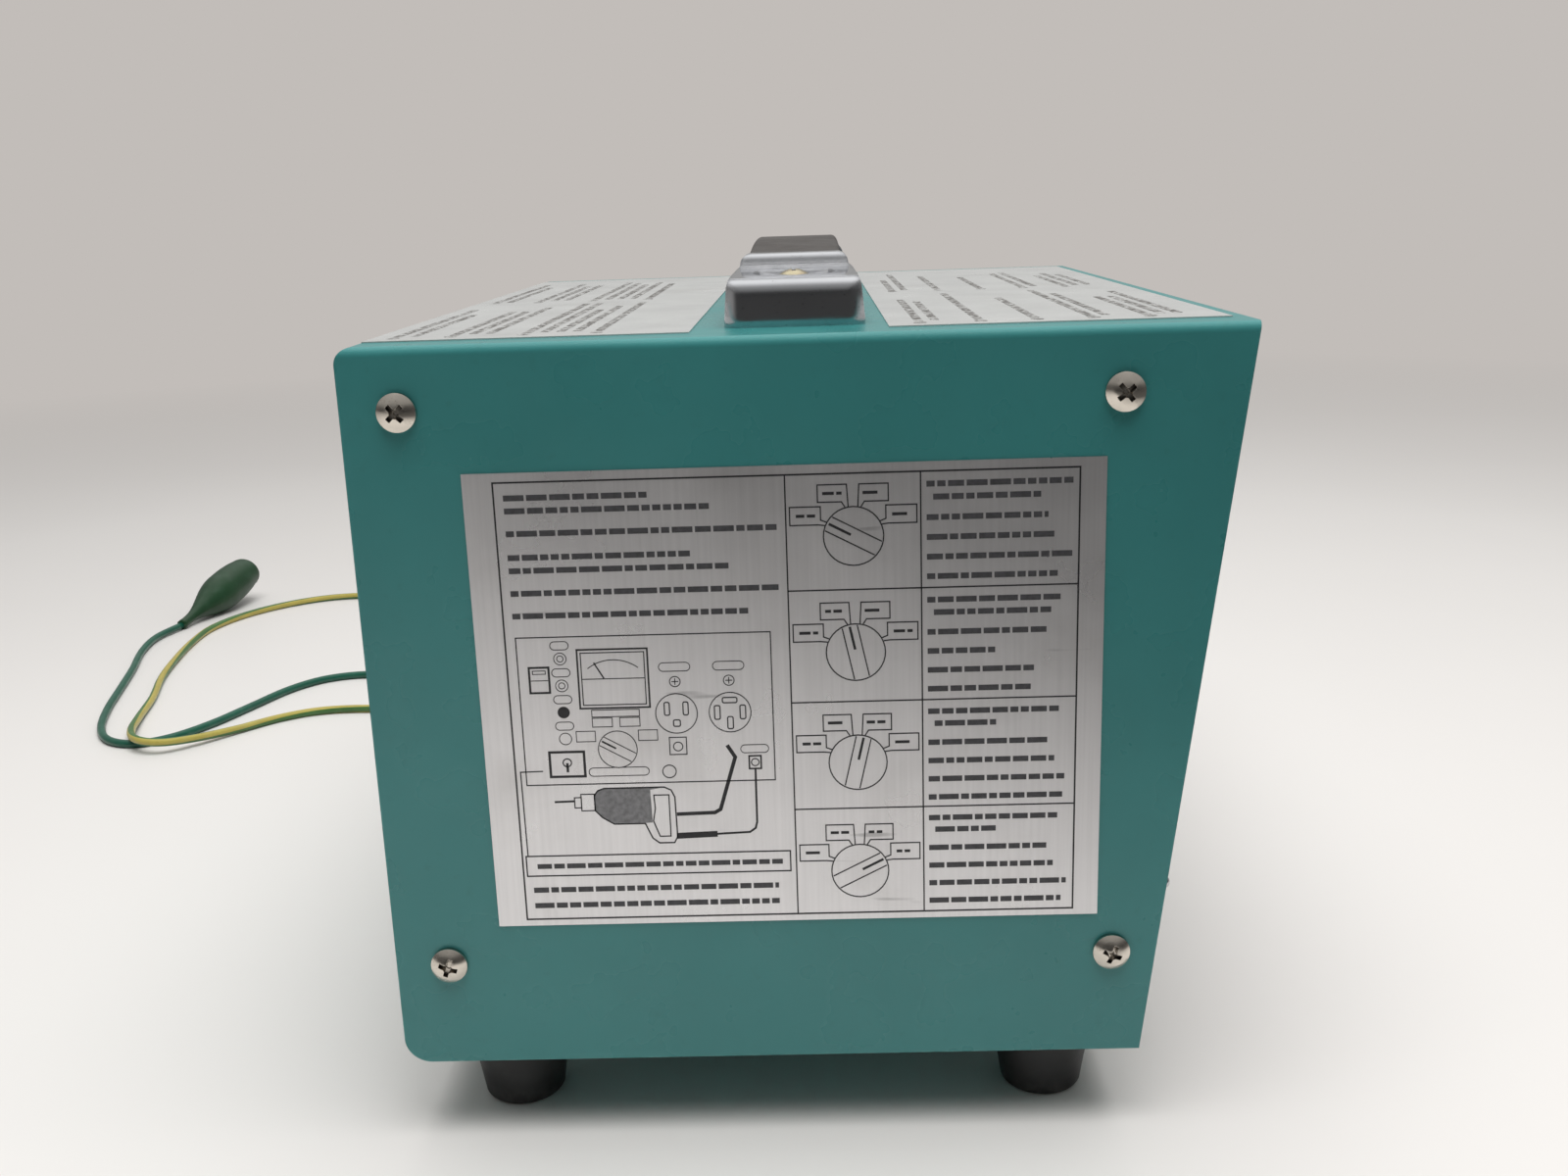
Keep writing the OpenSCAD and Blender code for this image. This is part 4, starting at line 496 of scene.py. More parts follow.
def tube(name, pts, radius, material):
    """Round tube along points, with a UV map: U goes round it and V is its length in metres."""
    sides = 16
    verts, lengths = [], []
    along = 0.0
    side = None
    for i, p in enumerate(pts):
        ahead = (pts[min(i + 1, len(pts) - 1)] - pts[max(i - 1, 0)]).normalized()
        side = ahead.orthogonal() if side is None else side - ahead * side.dot(ahead)
        side.normalize()
        up = ahead.cross(side)
        along += (p - pts[i - 1]).length if i else 0.0
        lengths.append(along)
        for k in range(sides):
            a = 2 * math.pi * k / sides
            verts.append(p + radius * (math.cos(a) * side + math.sin(a) * up))
    obj = new_object(name, verts, skin(len(pts), sides), material, smooth=True)
    uv = obj.data.uv_layers.new(name="UVMap").data
    for face in obj.data.polygons:
        columns = [v % sides for v in face.vertices]
        wraps = max(columns) - min(columns) > 1
        for loop, v in zip(face.loop_indices, face.vertices):
            column = v % sides
            u = (column + sides if wraps and column == 0 else column) / sides
            uv[loop].uv = (u, lengths[v // sides] * MM)
    return obj


def boot_radius(u):
    """Radius of a boot at a share of its length, as in the CAD part."""
    v = min(1, max(0, (u - SWELL_FROM) / SWELL_OVER))
    r = BOOT_TAIL_R + (BOOT_D / 2 - BOOT_TAIL_R) * v * v * (3 - 2 * v)
    return r * (1 if u < TAPER_FROM else 1 - TAPER * ((u - TAPER_FROM) / TAPER_OVER) ** 2)


def bead(u, at, height):
    """Height at u of a rolled bead round the boot."""
    return height * math.exp(-((u - at) / BEAD_WIDTH) ** 2)


def boot(name, at, turn, seed):
    """Dipped vinyl boot: a rolled tail, a swelling body with a parting line, and an open mouth."""
    rng = random.Random(seed)
    phase = [rng.uniform(0, 6.28) for _ in range(3)]
    rings, sides = 44, 64

    def radius(u, angle):
        """Outer radius at a share u of the length and an angle round the boot."""
        seam = (SEAM * math.exp(-(math.sin(angle) / SEAM_WIDTH) ** 2)
                * min(1, 6 * u) * (1 - 0.4 * u))
        sag = SAG * u * (math.sin(2 * angle + phase[0])
                         + 0.5 * math.sin(3 * angle + 9 * u + phase[1]))
        crease = (CREASE * math.sin(150 * u + 1.5 * math.sin(angle + phase[2]))
                  * max(0, 0.34 - abs(u - 0.3)))
        tail, lip = bead(u, BEAD_WIDTH, TAIL_BEAD), bead(u, LIP_AT, LIP_BEAD)
        return boot_radius(u) + tail + seam + sag + crease + lip

    verts = []
    shares = [i / rings for i in range(rings + 1)]
    hollow = [u for u in reversed(shares) if u > BOOT_FLOOR]
    rows = [(u, 0) for u in shares] + [(BOOT_RIM, BOOT_T / 2)] + [(u, BOOT_T) for u in hollow]
    for u, depth in rows:
        for k in range(sides):
            a = 2 * math.pi * k / sides
            r = radius(min(u, 1), a) - depth
            verts.append((u * BOOT_L, r * math.cos(a), r * math.sin(a)))
    place = (Matrix.Translation(at) @ Matrix.Rotation(math.radians(turn), 4, "Z")
             @ Matrix.Rotation(-BOOT_TILT, 4, "Y"))
    obj = new_object(name, [place @ Vector(v) for v in verts], skin(len(rows), sides),
                     BOOT_VINYL, smooth=True)
    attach(obj, "case")
    return obj


def lead(color, route, turn, seed):
    """A lead, and its clip's boot, which points turn degrees from +X."""
    pts = smooth_route(route, steps=6)
    slot_name = color + "_vinyl"
    obj = tube(color + "_lead_wire", pts, LEAD_D / 2, FINISHES[slot_name].material)
    sleeve = boot(color + "_boot", route[-1], turn, seed)
    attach(obj, "case")
    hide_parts(color + "_lead")
    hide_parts(color + "_clip_boot")


lead("green", GREEN_ROUTE, turn=-12, seed=3)
lead("striped", STRIPED_ROUTE, turn=-107, seed=8)


# Print

class Print:
    """Ink on a flat face. U runs right and V runs down from an origin on it, in millimetres."""

    THICK, SUNK = 0.05, 0.02
    # Points of a line that are this near count as one. A mitre is at most the width over the limit
    NEAR, MITRE_LIMIT = 0.01, 0.35
    # Lengths of the dashes in a row for text 1 mm high, the gap between them, and the least room
    # that a dash starts in
    DASHES, DASH_GAP, DASH_ROOM = (1.6, 2.3, 3.1, 4.0), 0.55, 0.6

    def __init__(self, origin, right, down, normal, thick=THICK):
        self.axes = [Vector(v) for v in (origin, right, down, normal)]
        self.thick = thick
        self.verts, self.faces = [], []

    def point(self, uv, height):
        origin, right, down, normal = self.axes
        return origin + right * uv[0] + down * uv[1] + normal * height

    def polygon(self, pts):
        """A filled outline, as a closed prism."""
        n, base = len(pts), len(self.verts)
        for height in (-self.SUNK, self.thick):
            self.verts += [self.point(p, height) for p in pts]
        self.faces += [tuple(base + i for i in reversed(range(n))),
                       tuple(base + n + i for i in range(n))]
        self.faces += [(base + i, base + (i + 1) % n, base + n + (i + 1) % n, base + n + i)
                       for i in range(n)]

    def line(self, pts, width, closed=False):
        """A line with mitred corners, as a closed ribbon."""
        pts = [Vector(p) for p in pts]
        pts = [p for i, p in enumerate(pts) if i == 0 or (p - pts[i - 1]).length > self.NEAR]
        if closed and (pts[0] - pts[-1]).length < self.NEAR:
            pts.pop()
        n, base = len(pts), len(self.verts)
        for i, p in enumerate(pts):
            before = pts[i - 1] if closed or i else None
            after = pts[(i + 1) % n] if closed or i < n - 1 else None
            arms = [(q2 - q1).normalized() for q1, q2 in ((before, p), (p, after))
                    if q1 is not None and q2 is not None]
            normals = [Vector((-a.y, a.x)) for a in arms]
            mitre = sum(normals, Vector((0, 0))).normalized()
            reach = width / 2 / max(self.MITRE_LIMIT, mitre.dot(normals[0]))
            for side, height in ((1, -self.SUNK), (-1, -self.SUNK), (-1, self.thick), (1, self.thick)):
                self.verts.append(self.point(p + mitre * reach * side, height))
        for i in range(n if closed else n - 1):
            a, b = base + 4 * i, base + 4 * ((i + 1) % n)
            self.faces += [(a + k, a + (k + 1) % 4, b + (k + 1) % 4, b + k) for k in range(4)]
        if not closed:
            end = base + 4 * (n - 1)
            self.faces += [(base, base + 1, base + 2, base + 3), (end + 3, end + 2, end + 1, end)]

    def box(self, u0, v0, u1, v1, width):
        self.line([(u0, v0), (u1, v0), (u1, v1), (u0, v1)], width, closed=True)

    def frame(self, u, v, half_w, half_h, width):
        """A box centred on (u, v)."""
        self.box(u - half_w, v - half_h, u + half_w, v + half_h, width)

    def fill(self, u0, v0, u1, v1):
        self.polygon([(u0, v0), (u1, v0), (u1, v1), (u0, v1)])

    @staticmethod
    def arc(u, v, r, start, end, steps):
        """Points round (u, v). Angles are in degrees, 0 is up and they grow clockwise."""
        turns = [math.radians(start + (end - start) * i / steps) for i in range(steps + 1)]
        return [(u + r * math.sin(a), v - r * math.cos(a)) for a in turns]

    @classmethod
    def rim(cls, r, angle):
        """The point at this radius and angle round the origin."""
        return cls.arc(0, 0, r, angle, angle, 1)[0]

    def circle(self, u, v, r, width, steps=36):
        self.line(self.arc(u, v, r, 0, 360, steps)[:-1], width, closed=True)

    def disc(self, u, v, r):
        self.polygon(self.arc(u, v, r, 0, 360, 28)[:-1])

    @classmethod
    def rounded(cls, u, v, w, h, r):
        """Points of an outline with round corners, centred on (u, v)."""
        pts = []
        for su, sv, start in ((1, -1, 0), (1, 1, 90), (-1, 1, 180), (-1, -1, 270)):
            pts += cls.arc(u + su * (w / 2 - r), v + sv * (h / 2 - r), r, start, start + 90, 6)
        return pts

    def pill(self, u, v, w, h, width, radius=None):
        """Outline with round corners, or fully round ends, centred on (u, v)."""
        r = h / 2 if radius is None else radius
        self.line(self.rounded(u, v, w, h, r), width, closed=True)

    def dashes(self, u0, u1, v, height, rng):
        """A row of plain dashes where the real label has a line of text."""
        u = u0
        while u < u1 - self.DASH_ROOM:
            end = min(u1, u + rng.choice(self.DASHES) * (0.5 + height / 2))
            self.fill(u, v - height / 2, end, v + height / 2)
            u = end + self.DASH_GAP

    def build(self, name, material, slot, body="case"):
        obj = new_object(name, self.verts, self.faces, material)
        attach(obj, body)
        return obj


def centre(node):
    """Centre of a CAD node's box, in millimetres."""
    low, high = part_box(node)
    return [(a + b) / 2 / MM for a, b in zip(low, high)]


# The panel's half width, edges and face as in the CAD part, the heights of the screws over the
# outlets and of the earth tab's, and the lamps and buttons that stand in a column
PANEL_X, PANEL_TOP, PANEL_BOTTOM, PANEL_FACE_Y = 133.8, 197.8, 22.2, -79.5
OUTLET_SCREW_Z, TAB_Z = 142.486, 65.222
COLUMN = ("ok_lamp_lens", "ng_lamp_lens", "start_button", "test_button")
# Slots of each outlet in the small drawing: U and V from its centre, width and height
OUTLET_SLOTS = {
    "two_pole_outlet": ((-2.2, -1.2, 1.2, 3.2), (2.2, -1.2, 1.2, 3.2), (0, 2.4, 1.6, 1.6)),
    "three_pole_outlet": ((-3, 0, 1.3, 3.4), (3, 0, 1.3, 3.4), (0, -3, 3.4, 1.3),
                          (0, 2.6, 1.3, 3)),
}


def rotated(pts, u, v, angle):
    """Points turned clockwise by angle degrees and moved to (u, v)."""
    c, s = math.cos(math.radians(angle)), math.sin(math.radians(angle))
    return [(u + x * c - y * s, v + x * s + y * c) for x, y in pts]


def knob_figure(ink, u, v, r, angle, width):
    """A knob seen from the front: its rim, its bar and its index line."""
    ink.circle(u, v, r, width)
    half = r * 0.26
    reach = math.sqrt(r * r - half * half) - width
    for side in (-half, half):
        ink.line(rotated([(side, -reach), (side, reach)], u, v, angle), width)
    ink.line(rotated([(0, -reach), (0, -r * 0.1)], u, v, angle), width * 2)


def knob_tags(ink, u, v, width):
    """Four blank position tags round a knob, each drawn out to a narrow tail on its rim."""
    r = 7.0
    upper = [Print.rim(r, 9), (1.4, -12), (8, -12), (8, -8), (2.6, -8), Print.rim(r, 15)]
    lower = [Print.rim(r, 61), (7.4, -3.9), (7.4, -7), (14.4, -7), (14.4, -2.8), (8, -2.8),
             Print.rim(r, 68)]
    for outline in (upper, lower):
        for side in (-1, 1):
            ink.line([(u + side * x, v + y) for x, y in outline], width)


def figure_panel(ink, u0, v0, u1, v1):
    """Small drawing of the front panel, placed from the CAD nodes. Returns the earth post's spot."""
    ku = (u1 - u0) / (2 * PANEL_X)
    kv = (v1 - v0) / (PANEL_TOP - PANEL_BOTTOM)

    def at(x, z):
        return u0 + (x + PANEL_X) * ku, v0 + (PANEL_TOP - z) * kv

    def spot(node):
        x, _, z = centre(node)
        return at(x, z)

    ink.box(u0, v0, u1, v1, 0.28)
    for node in COLUMN:
        u, v = spot(node)
        ink.pill(u, v - 3.2, 4.3, 2.0, 0.2)
        if node == "start_button":
            ink.disc(u, v, 1.45)
        else:
            ink.circle(u, v, 1.45, 0.2, 24)
        if "lamp" in node:
            ink.circle(u, v, 0.75, 0.2, 18)
    u, v = spot("rocker_frame")
    ink.frame(u, v, 2.3, 3.1, 0.5)
    ink.box(u - 1.5, v - 2.3, u + 1.5, v - 1.5, 0.2)
    ink.line([(u - 2, v + 0.1), (u + 2, v + 0.1)], 0.2)
    u, v = spot("meter_housing")
    ink.frame(u, v, 8.2, 7.2, 0.42)
    ink.frame(u, v, 7.4, 6.4, 0.25)
    ink.line([(u - 7.4, v), (u + 7.4, v)], 0.22)
    ink.line(Print.arc(u, v + 5, 9.6, -38, 38, 16), 0.22)
    ink.line([(u - 2.2, v - 0.1), (u - 4.4, v - 4.0)], 0.34)
    u, v = spot("selector_shaft")
    ink.pill(u, v + 5.6, 14.3, 2.1, 0.2)
    ink.box(u - 5.6, v - 9.9, u + 5.6, v - 8.2, 0.2)
    ink.box(u - 5.6, v - 7.9, u - 0.9, v - 5.7, 0.2)
    ink.box(u + 0.9, v - 7.9, u + 5.6, v - 5.7, 0.2)
    ink.box(u - 9.6, v - 4.7, u - 5.1, v - 2.1, 0.2)
    ink.box(u + 5.1, v - 4.7, u + 9.6, v - 2.1, 0.2)
    knob_figure(ink, u, v, 4.6, -60, 0.22)
    u, v = spot("toggle_plate")
    ink.frame(u, v, 4.1, 3.1, 0.6)
    ink.circle(u, v - 0.4, 1.0, 0.3, 20)
    ink.line([(u, v - 0.3), (u, v + 2.0)], 0.6)
    for node in OUTLET_SLOTS:
        u, v = spot(node)
        screw_v = at(0, OUTLET_SCREW_Z)[1]
        ink.pill(u, screw_v - 3.6, 7.3, 2.1, 0.2)
        ink.circle(u, screw_v, 1.25, 0.22, 20)
        ink.line([(u - 0.8, screw_v), (u + 0.8, screw_v)], 0.22)
        ink.line([(u, screw_v - 0.8), (u, screw_v + 0.8)], 0.22)
        ink.circle(u, v, 4.9, 0.24)
        for du, dv, w, h in OUTLET_SLOTS[node]:
            ink.pill(u + du, v + dv, w, h, 0.3, 0.4)
    u, v = at(centre("earth_tab")[0], TAB_Z)
    ink.box(u - 2, v - 2.3, u + 2, v + 2, 0.25)
    ink.circle(u, v, 1.1, 0.25, 20)
    u, v = spot("fuse_cap")
    ink.circle(u, v, 1.6, 0.25, 24)
    u, v = spot("earth_post_cap")
    ink.pill(u, v - 3.4, 6.6, 2.0, 0.2)
    ink.frame(u, v, 1.4, 1.6, 0.4)
    ink.circle(u, v, 0.9, 0.25, 18)
    return u, v


def figure_drill(ink, solid, u0, v0):
    """Plain outline of a hand drill with its chuck and bit."""
    body = [(19, 0.6), (20.6, 0), (35, 0), (36.6, 0.8), (37.4, 2.6), (37.6, 12.8), (36.8, 14.3),
            (33.2, 14.3), (31.6, 13), (30, 9.2), (22.6, 9.2), (19.8, 7.4), (18.2, 5.6), (18.2, 1.8)]
    grip = [(32.4, 2), (36, 2), (36, 12.6), (33.4, 12.6), (32, 8.6), (32.6, 5.4)]

    def move(pts):
        return [(u0 + u, v0 + v) for u, v in pts]

    ink.line(move(body), 0.34, closed=True)
    ink.line(move(grip), 0.3, closed=True)
    solid.polygon(move(body[:3] + [(31.6, 0.6), (31.8, 9.0)] + body[10:]))
    ink.box(u0 + 15, v0 + 1.4, u0 + 18.2, v0 + 5.6, 0.28)
    ink.box(u0 + 13.4, v0 + 2.2, u0 + 15, v0 + 4.8, 0.28)
    ink.line(move([(8.6, 3.2), (13.4, 3.1)]), 0.5)


# The side label's upper left corner, its outer frame, where its middle and right columns start,
# the rules between its fields, and the widths of its lines and rows
LABEL_AT = (-135.3, 76.2, 170)
LABEL_LEFT, LABEL_TOP, LABEL_RIGHT, LABEL_BOTTOM = 7, 2.2, 139.5, 110.3
KNOBS_LEFT, FIELDS_LEFT, FIELD_RULES = 73.1, 103.7, (29.25, 56.3, 83.1)
RULE_W, KNOB_W, ROW_H = 0.34, 0.3, 1.35
# Rows of dashes in the left column: where they start, and the height and end of each
LEFT_ROWS_U = 9.2
LEFT_ROWS = ((5.8, 42.2), (8.8, 55.8), (14.1, 71), (19.7, 51), (22.8, 59.7), (28.2, 71),
             (33.6, 63.8), (102.6, 68.7), (106.7, 69.6))
FRAMED_ROW = (7.9, 93.7, 71.7, 98.9)
# Rows in each field of the right column: where they start, their heights, the one that is set in
# and how far, and their ends
FIELD_ROWS_U, FIELD_ROWS = 105, (2.9, 5.9, 10.6, 15.2, 19.8, 24.4)
SET_IN_ROW, SET_IN = 5.9, 1.5
FIELD_ENDS = ((138, 130.8, 132.5, 134.9, 138, 135.5), (135.5, 133.4, 133.1, 120.6, 129.6, 129.6),
              (135.5, 120.9, 133, 134.6, 137.8, 136.6), (135.5, 120.9, 133, 134.6, 137.8, 136.6))
# Place of the panel's drawing and of the drill's
PANEL_FIGURE, DRILL_AT = (9.5, 38.8, 68.7, 75.4), (7.2, 76.6)
# The knobs in the middle column: their U and radius, and the height and turn of each
KNOB_U, KNOB_R = 88.4, 6.85
KNOBS = ((16.7, -62), (44.3, -12), (71.5, 13), (99.3, 63))
# Middles of the words in a knob's tags, from the knob's centre, and half their length
TAG_WORDS, TAG_WORD_REACH = ((-4.7, -10), (4.4, -10), (-10.8, -4.9), (11, -4.9)), 2.2


def side_label():
    """The label on the left side: ruled frames, rows of dashes, four dials and two figures."""
    face = (LABEL_AT, (0, -1, 0), (0, 0, -1), (-1, 0, 0))
    ink, soft, grey = Print(*face), Print(*face), Print(*face)
    rng = random.Random(11)
    ink.box(LABEL_LEFT, LABEL_TOP, LABEL_RIGHT, LABEL_BOTTOM, 0.4)
    for u in (KNOBS_LEFT, FIELDS_LEFT):
        ink.line([(u, LABEL_TOP), (u, LABEL_BOTTOM)], RULE_W)
    for v in FIELD_RULES:
        ink.line([(KNOBS_LEFT, v), (LABEL_RIGHT, v)], RULE_W)
    for v, end in LEFT_ROWS:
        soft.dashes(LEFT_ROWS_U, end, v, ROW_H, rng)
    ink.box(*FRAMED_ROW, RULE_W)
    soft.dashes(10.5, 70.4, 96.4, 1.25, rng)
    for top, row in zip((LABEL_TOP, *FIELD_RULES), FIELD_ENDS):
        for dv, end in zip(FIELD_ROWS, row):
            start = FIELD_ROWS_U + (SET_IN if dv == SET_IN_ROW else 0)
            soft.dashes(start, end, top + dv, ROW_H, rng)
    for v, angle in KNOBS:
        knob_figure(ink, KNOB_U, v, KNOB_R, angle, KNOB_W)
        knob_tags(ink, KNOB_U, v, KNOB_W)
        for du, dv in TAG_WORDS:
            ink.dashes(KNOB_U + du - TAG_WORD_REACH, KNOB_U + du + TAG_WORD_REACH, v + dv, 0.7, rng)
    u, v = figure_panel(ink, *PANEL_FIGURE)
    figure_drill(ink, grey, *DRILL_AT)
    mains_lead = [(44.9, 83.6), (54, 83.4), (55.4, 82.6), (59.4, 69.4), (57.6, 66.4)]
    clip = [(44.6, 89.2), (54.4, 88.9)]
    earth_lead = [(54.4, 88.9), (62.2, 88.6), (63.6, 87.6), (64, 86), (u, v + 1.8)]
    pointer = [(13.6, 71.9), (8.2, 72), (8.4, 93.7)]
    for line, width in ((mains_lead, 0.9), (clip, 1.5), (earth_lead, 0.5), (pointer, 0.3)):
        ink.line(line, width)
    ink.build("side_label_print", INK, "label_foil")
    soft.build("side_label_rows", INK_SOFT, "label_foil")
    grey.build("side_label_shading", INK_GREY, "label_foil")


# The labels on the top, whose U runs along X and V against Y from this point
TOP_LABELS_AT = (-124, 0, 199.3)
# Start and longest reach of the items in each column
TOP_COLUMNS = ((5, 108), (122, 104))
# Items in each column: y of the first line, indent of the next lines, and number of lines
TOP_ITEMS = ((93.5, 1, 2), (80, 3, 3), (63, 2, 4), (46, 2, 1),
             (-29, 3, 2), (-43, 3, 1), (-56, 3, 1), (-69, 3, 2), (-82, 3, 3))
TOP_LINE_PITCH, TOP_LINE_H, TOP_TEXT_START = 3.9, 2.0, 5


def top_labels():
    """The two labels on the top, whose lines run across the case."""
    rng = random.Random(5)
    ink = Print(TOP_LABELS_AT, (1, 0, 0), (0, -1, 0), (0, 0, 1))
    for y, indent, count in TOP_ITEMS:
        for column, reach in TOP_COLUMNS:
            ink.disc(column + 1.6, -y, 1.5)
            for i in range(count):
                length = reach * rng.uniform(0.6, 1.0)
                start = column + TOP_TEXT_START + (indent if i else 0)
                ink.dashes(start, column + length, -y + i * TOP_LINE_PITCH, TOP_LINE_H, rng)
    ink.build("top_label_print", INK_FADED, "label_white")


# Height of the meter's numbers, and how deep they reach on either side of their middle
DIGIT_H, DIGIT_DEPTH = 3.6, 0.03


def digits(text, place, name, material):
    """A plain number, as thin solid figures."""
    curve = bpy.data.curves.new(name, "FONT")
    curve.body, curve.size, curve.extrude = text, DIGIT_H * MM, DIGIT_DEPTH * MM
    curve.align_x = curve.align_y = "CENTER"
    holder = bpy.data.objects.new(name, curve)
    bpy.context.scene.collection.objects.link(holder)
    mesh = bpy.data.meshes.new_from_object(holder)
    bpy.data.objects.remove(holder)
    obj = bpy.data.objects.new(name, mesh)
    mesh.transform(place)
    mesh.materials.clear()
    mesh.materials.append(material)
    bpy.context.scene.collection.objects.link(obj)
    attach(obj, "case")
    return obj


# Centre of each blank tag round the selector, from its shaft, with width and height
SELECTOR_TAGS = ((-15.9, -31.6, 20.5, 12), (15.9, -31.6, 20.5, 12),
                 (-33, -14.8, 20.5, 13), (33, -14.8, 20.5, 13))
SELECTOR_STOPS = (-60, -20, 20, 60)


def panel_print():
    """Blank outlines and tags, the selector's ticks, an arc over the post and two bars."""
    face = ((-PANEL_X, PANEL_FACE_Y, PANEL_TOP), (1, 0, 0), (0, 0, -1), (0, -1, 0))
    ink = Print(*face)

    def spot(node):
        x, _, z = centre(node)
        return x + PANEL_X, PANEL_TOP - z

    for node in COLUMN:
        u, v = spot(node)
        ink.pill(u, v - 14.6, 19, 8, 0.5)
    for node in OUTLET_SLOTS:
        u, v = spot(node)[0], PANEL_TOP - OUTLET_SCREW_Z
        ink.pill(u, v - 17, 34, 11, 0.6)
        ink.circle(u, v, 8.2, 0.4, 40)
    u, v = spot("earth_post_cap")
    ink.pill(u - 1, v - 18.5, 32, 10, 0.6)
    ink.line(Print.arc(u, v, 10.6, -60, 60, 16), 0.5)
    u, v = spot("selector_shaft")
    ink.pill(u, v + 29.6, 64, 9.6, 0.6)
    ink.pill(u, v - 43.6, 48, 8.4, 0.6, 1)
    for tag_u, tag_v, w, h in SELECTOR_TAGS:
        ink.pill(u + tag_u, v + tag_v, w, h, 0.6, 1)
    for angle in SELECTOR_STOPS:
        ink.line([Print.arc(u, v, r, angle, angle, 1)[0] for r in (22.2, 25.4)], 0.9)
    u, v = spot("rocker_frame")
    for du in (-3.2, 3.2):
        ink.fill(u + du - 2.2, v - 20.6, u + du + 2.2, v - 19.4)
    ink.build("panel_print", INK, "panel_aluminium")


# The rocker as in the CAD part: its tilt at rest, its pivot's depth behind the panel's face, the
# height over the pivot of the line where its halves meet, and their rise from there to their ends
ROCKER_TILT, ROCKER_PIVOT_DEPTH, ROCKER_MIDDLE = math.radians(11), 1, 4.2
ROCKER_RISE, ROCKER_HALF = 2.4, 12.3


def rocker_marks():
    """A red window and a bar on the rocker's upper half, and a ring on its lower half."""
    x, _, z = centre("rocker_frame")
    slope = ROCKER_RISE / ROCKER_HALF

    def tilted(up, out):
        """A direction of the tilted rocker, in the frame of the case."""
        c, s = math.cos(ROCKER_TILT), math.sin(ROCKER_TILT)
        return Vector((0, -(up * s + out * c), up * c - out * s))

    def half(side, thick=Print.THICK):
        """The upper half's face with side 1, or the lower half's with side -1."""
        middle = Vector((x, PANEL_FACE_Y + ROCKER_PIVOT_DEPTH, z)) + tilted(0, ROCKER_MIDDLE)
        return Print(middle, (1, 0, 0), tilted(-1, -side * slope).normalized(),
                     tilted(-side * slope, 1).normalized(), thick)

    window = half(1, 0.45)
    window.polygon(Print.rounded(0, -7.6, 11, 4.6, 0.8))
    window.build("rocker_window", FINISHES["red_lens"].material, "red_lens", "rocker")
    bar = half(1)
    bar.fill(-0.35, -3.9, 0.35, -1.2)
    bar.build("rocker_bar", INK_WHITE, "black_gloss", "rocker")
    ring = half(-1)
    ring.circle(0, 6.2, 1.7, 0.6, 28)
    ring.build("rocker_ring", INK_WHITE, "black_gloss", "rocker")


# The needle's pivot and the dial's face as in the CAD part, and half the needle's swing in degrees
METER_X, PIVOT_Z, DIAL_Y, SWING = -33.45, 139.754, -85.9, 45
# Radii of the scale, its coloured band and its numbers, where red turns to green in degrees, the
# outer radii of long, middle and short ticks, and the number of steps
SCALE_R, BAND_R, NUMBER_R, RED_END = 30.5, 29.2, 36, -27
LONG_TICK_R, HALF_TICK_R, TICK_R, TICKS = 33.5, 32.6, 31.9, 50
NUMBERS = ("0", "2", "4", "6", "8", "10")


def meter_scale():
    """Scale arcs and numbers round the needle's pivot."""
    face = ((METER_X, DIAL_Y, PIVOT_Z), (1, 0, 0), (0, 0, -1), (0, -1, 0))
    ink, red, green = Print(*face), Print(*face), Print(*face)
    ink.line(Print.arc(0, 0, SCALE_R, -SWING, SWING, 40), 0.35)
    for i in range(TICKS + 1):
        angle = -SWING + 2 * SWING * i / TICKS
        outer = LONG_TICK_R if i % 10 == 0 else HALF_TICK_R if i % 5 == 0 else TICK_R
        ink.line([Print.rim(SCALE_R, angle), Print.rim(outer, angle)], 0.4 if i % 10 == 0 else 0.22)
    red.line(Print.arc(0, 0, BAND_R, -SWING, RED_END, 12), 1.1)
    green.line(Print.arc(0, 0, BAND_R, RED_END, SWING, 30), 1.1)
    ink.build("meter_scale_print", INK, "dial_white")
    red.build("meter_scale_red", INK_RED, "dial_white")
    green.build("meter_scale_green", INK_GREEN, "dial_white")
    for i, text in enumerate(NUMBERS):
        angle = math.radians(-SWING + 2 * SWING * i / (len(NUMBERS) - 1))
        spot = Matrix.Translation(Vector((METER_X + NUMBER_R * math.sin(angle), DIAL_Y - DIGIT_DEPTH,
                                          PIVOT_Z + NUMBER_R * math.cos(angle))) * MM)
        turn = Matrix.Rotation(angle, 4, "Y") @ Matrix.Rotation(math.pi / 2, 4, "X")
        obj = digits(text, spot @ turn, f"meter_number_{text}", INK)


side_label()
top_labels()
panel_print()
rocker_marks()
meter_scale()


# Floor, backdrop and light

BACKDROP = srgb(194, 189, 185)
FLOOR = srgb(227, 224, 221)
DIM_FLOOR = srgb(78, 77, 76)
# In metres: half the floor's width, how far from (0.1, 0.1) it starts to melt into the backdrop and
# has melted, and where along X + 0.9 Y it starts to be dim for reflections and is dim
FLOOR_REACH, MELT_START, MELT_END = 8, 0.7, 1.7
DIM_SLANT, DIM_START, DIM_END = 0.9, -0.29, -0.7


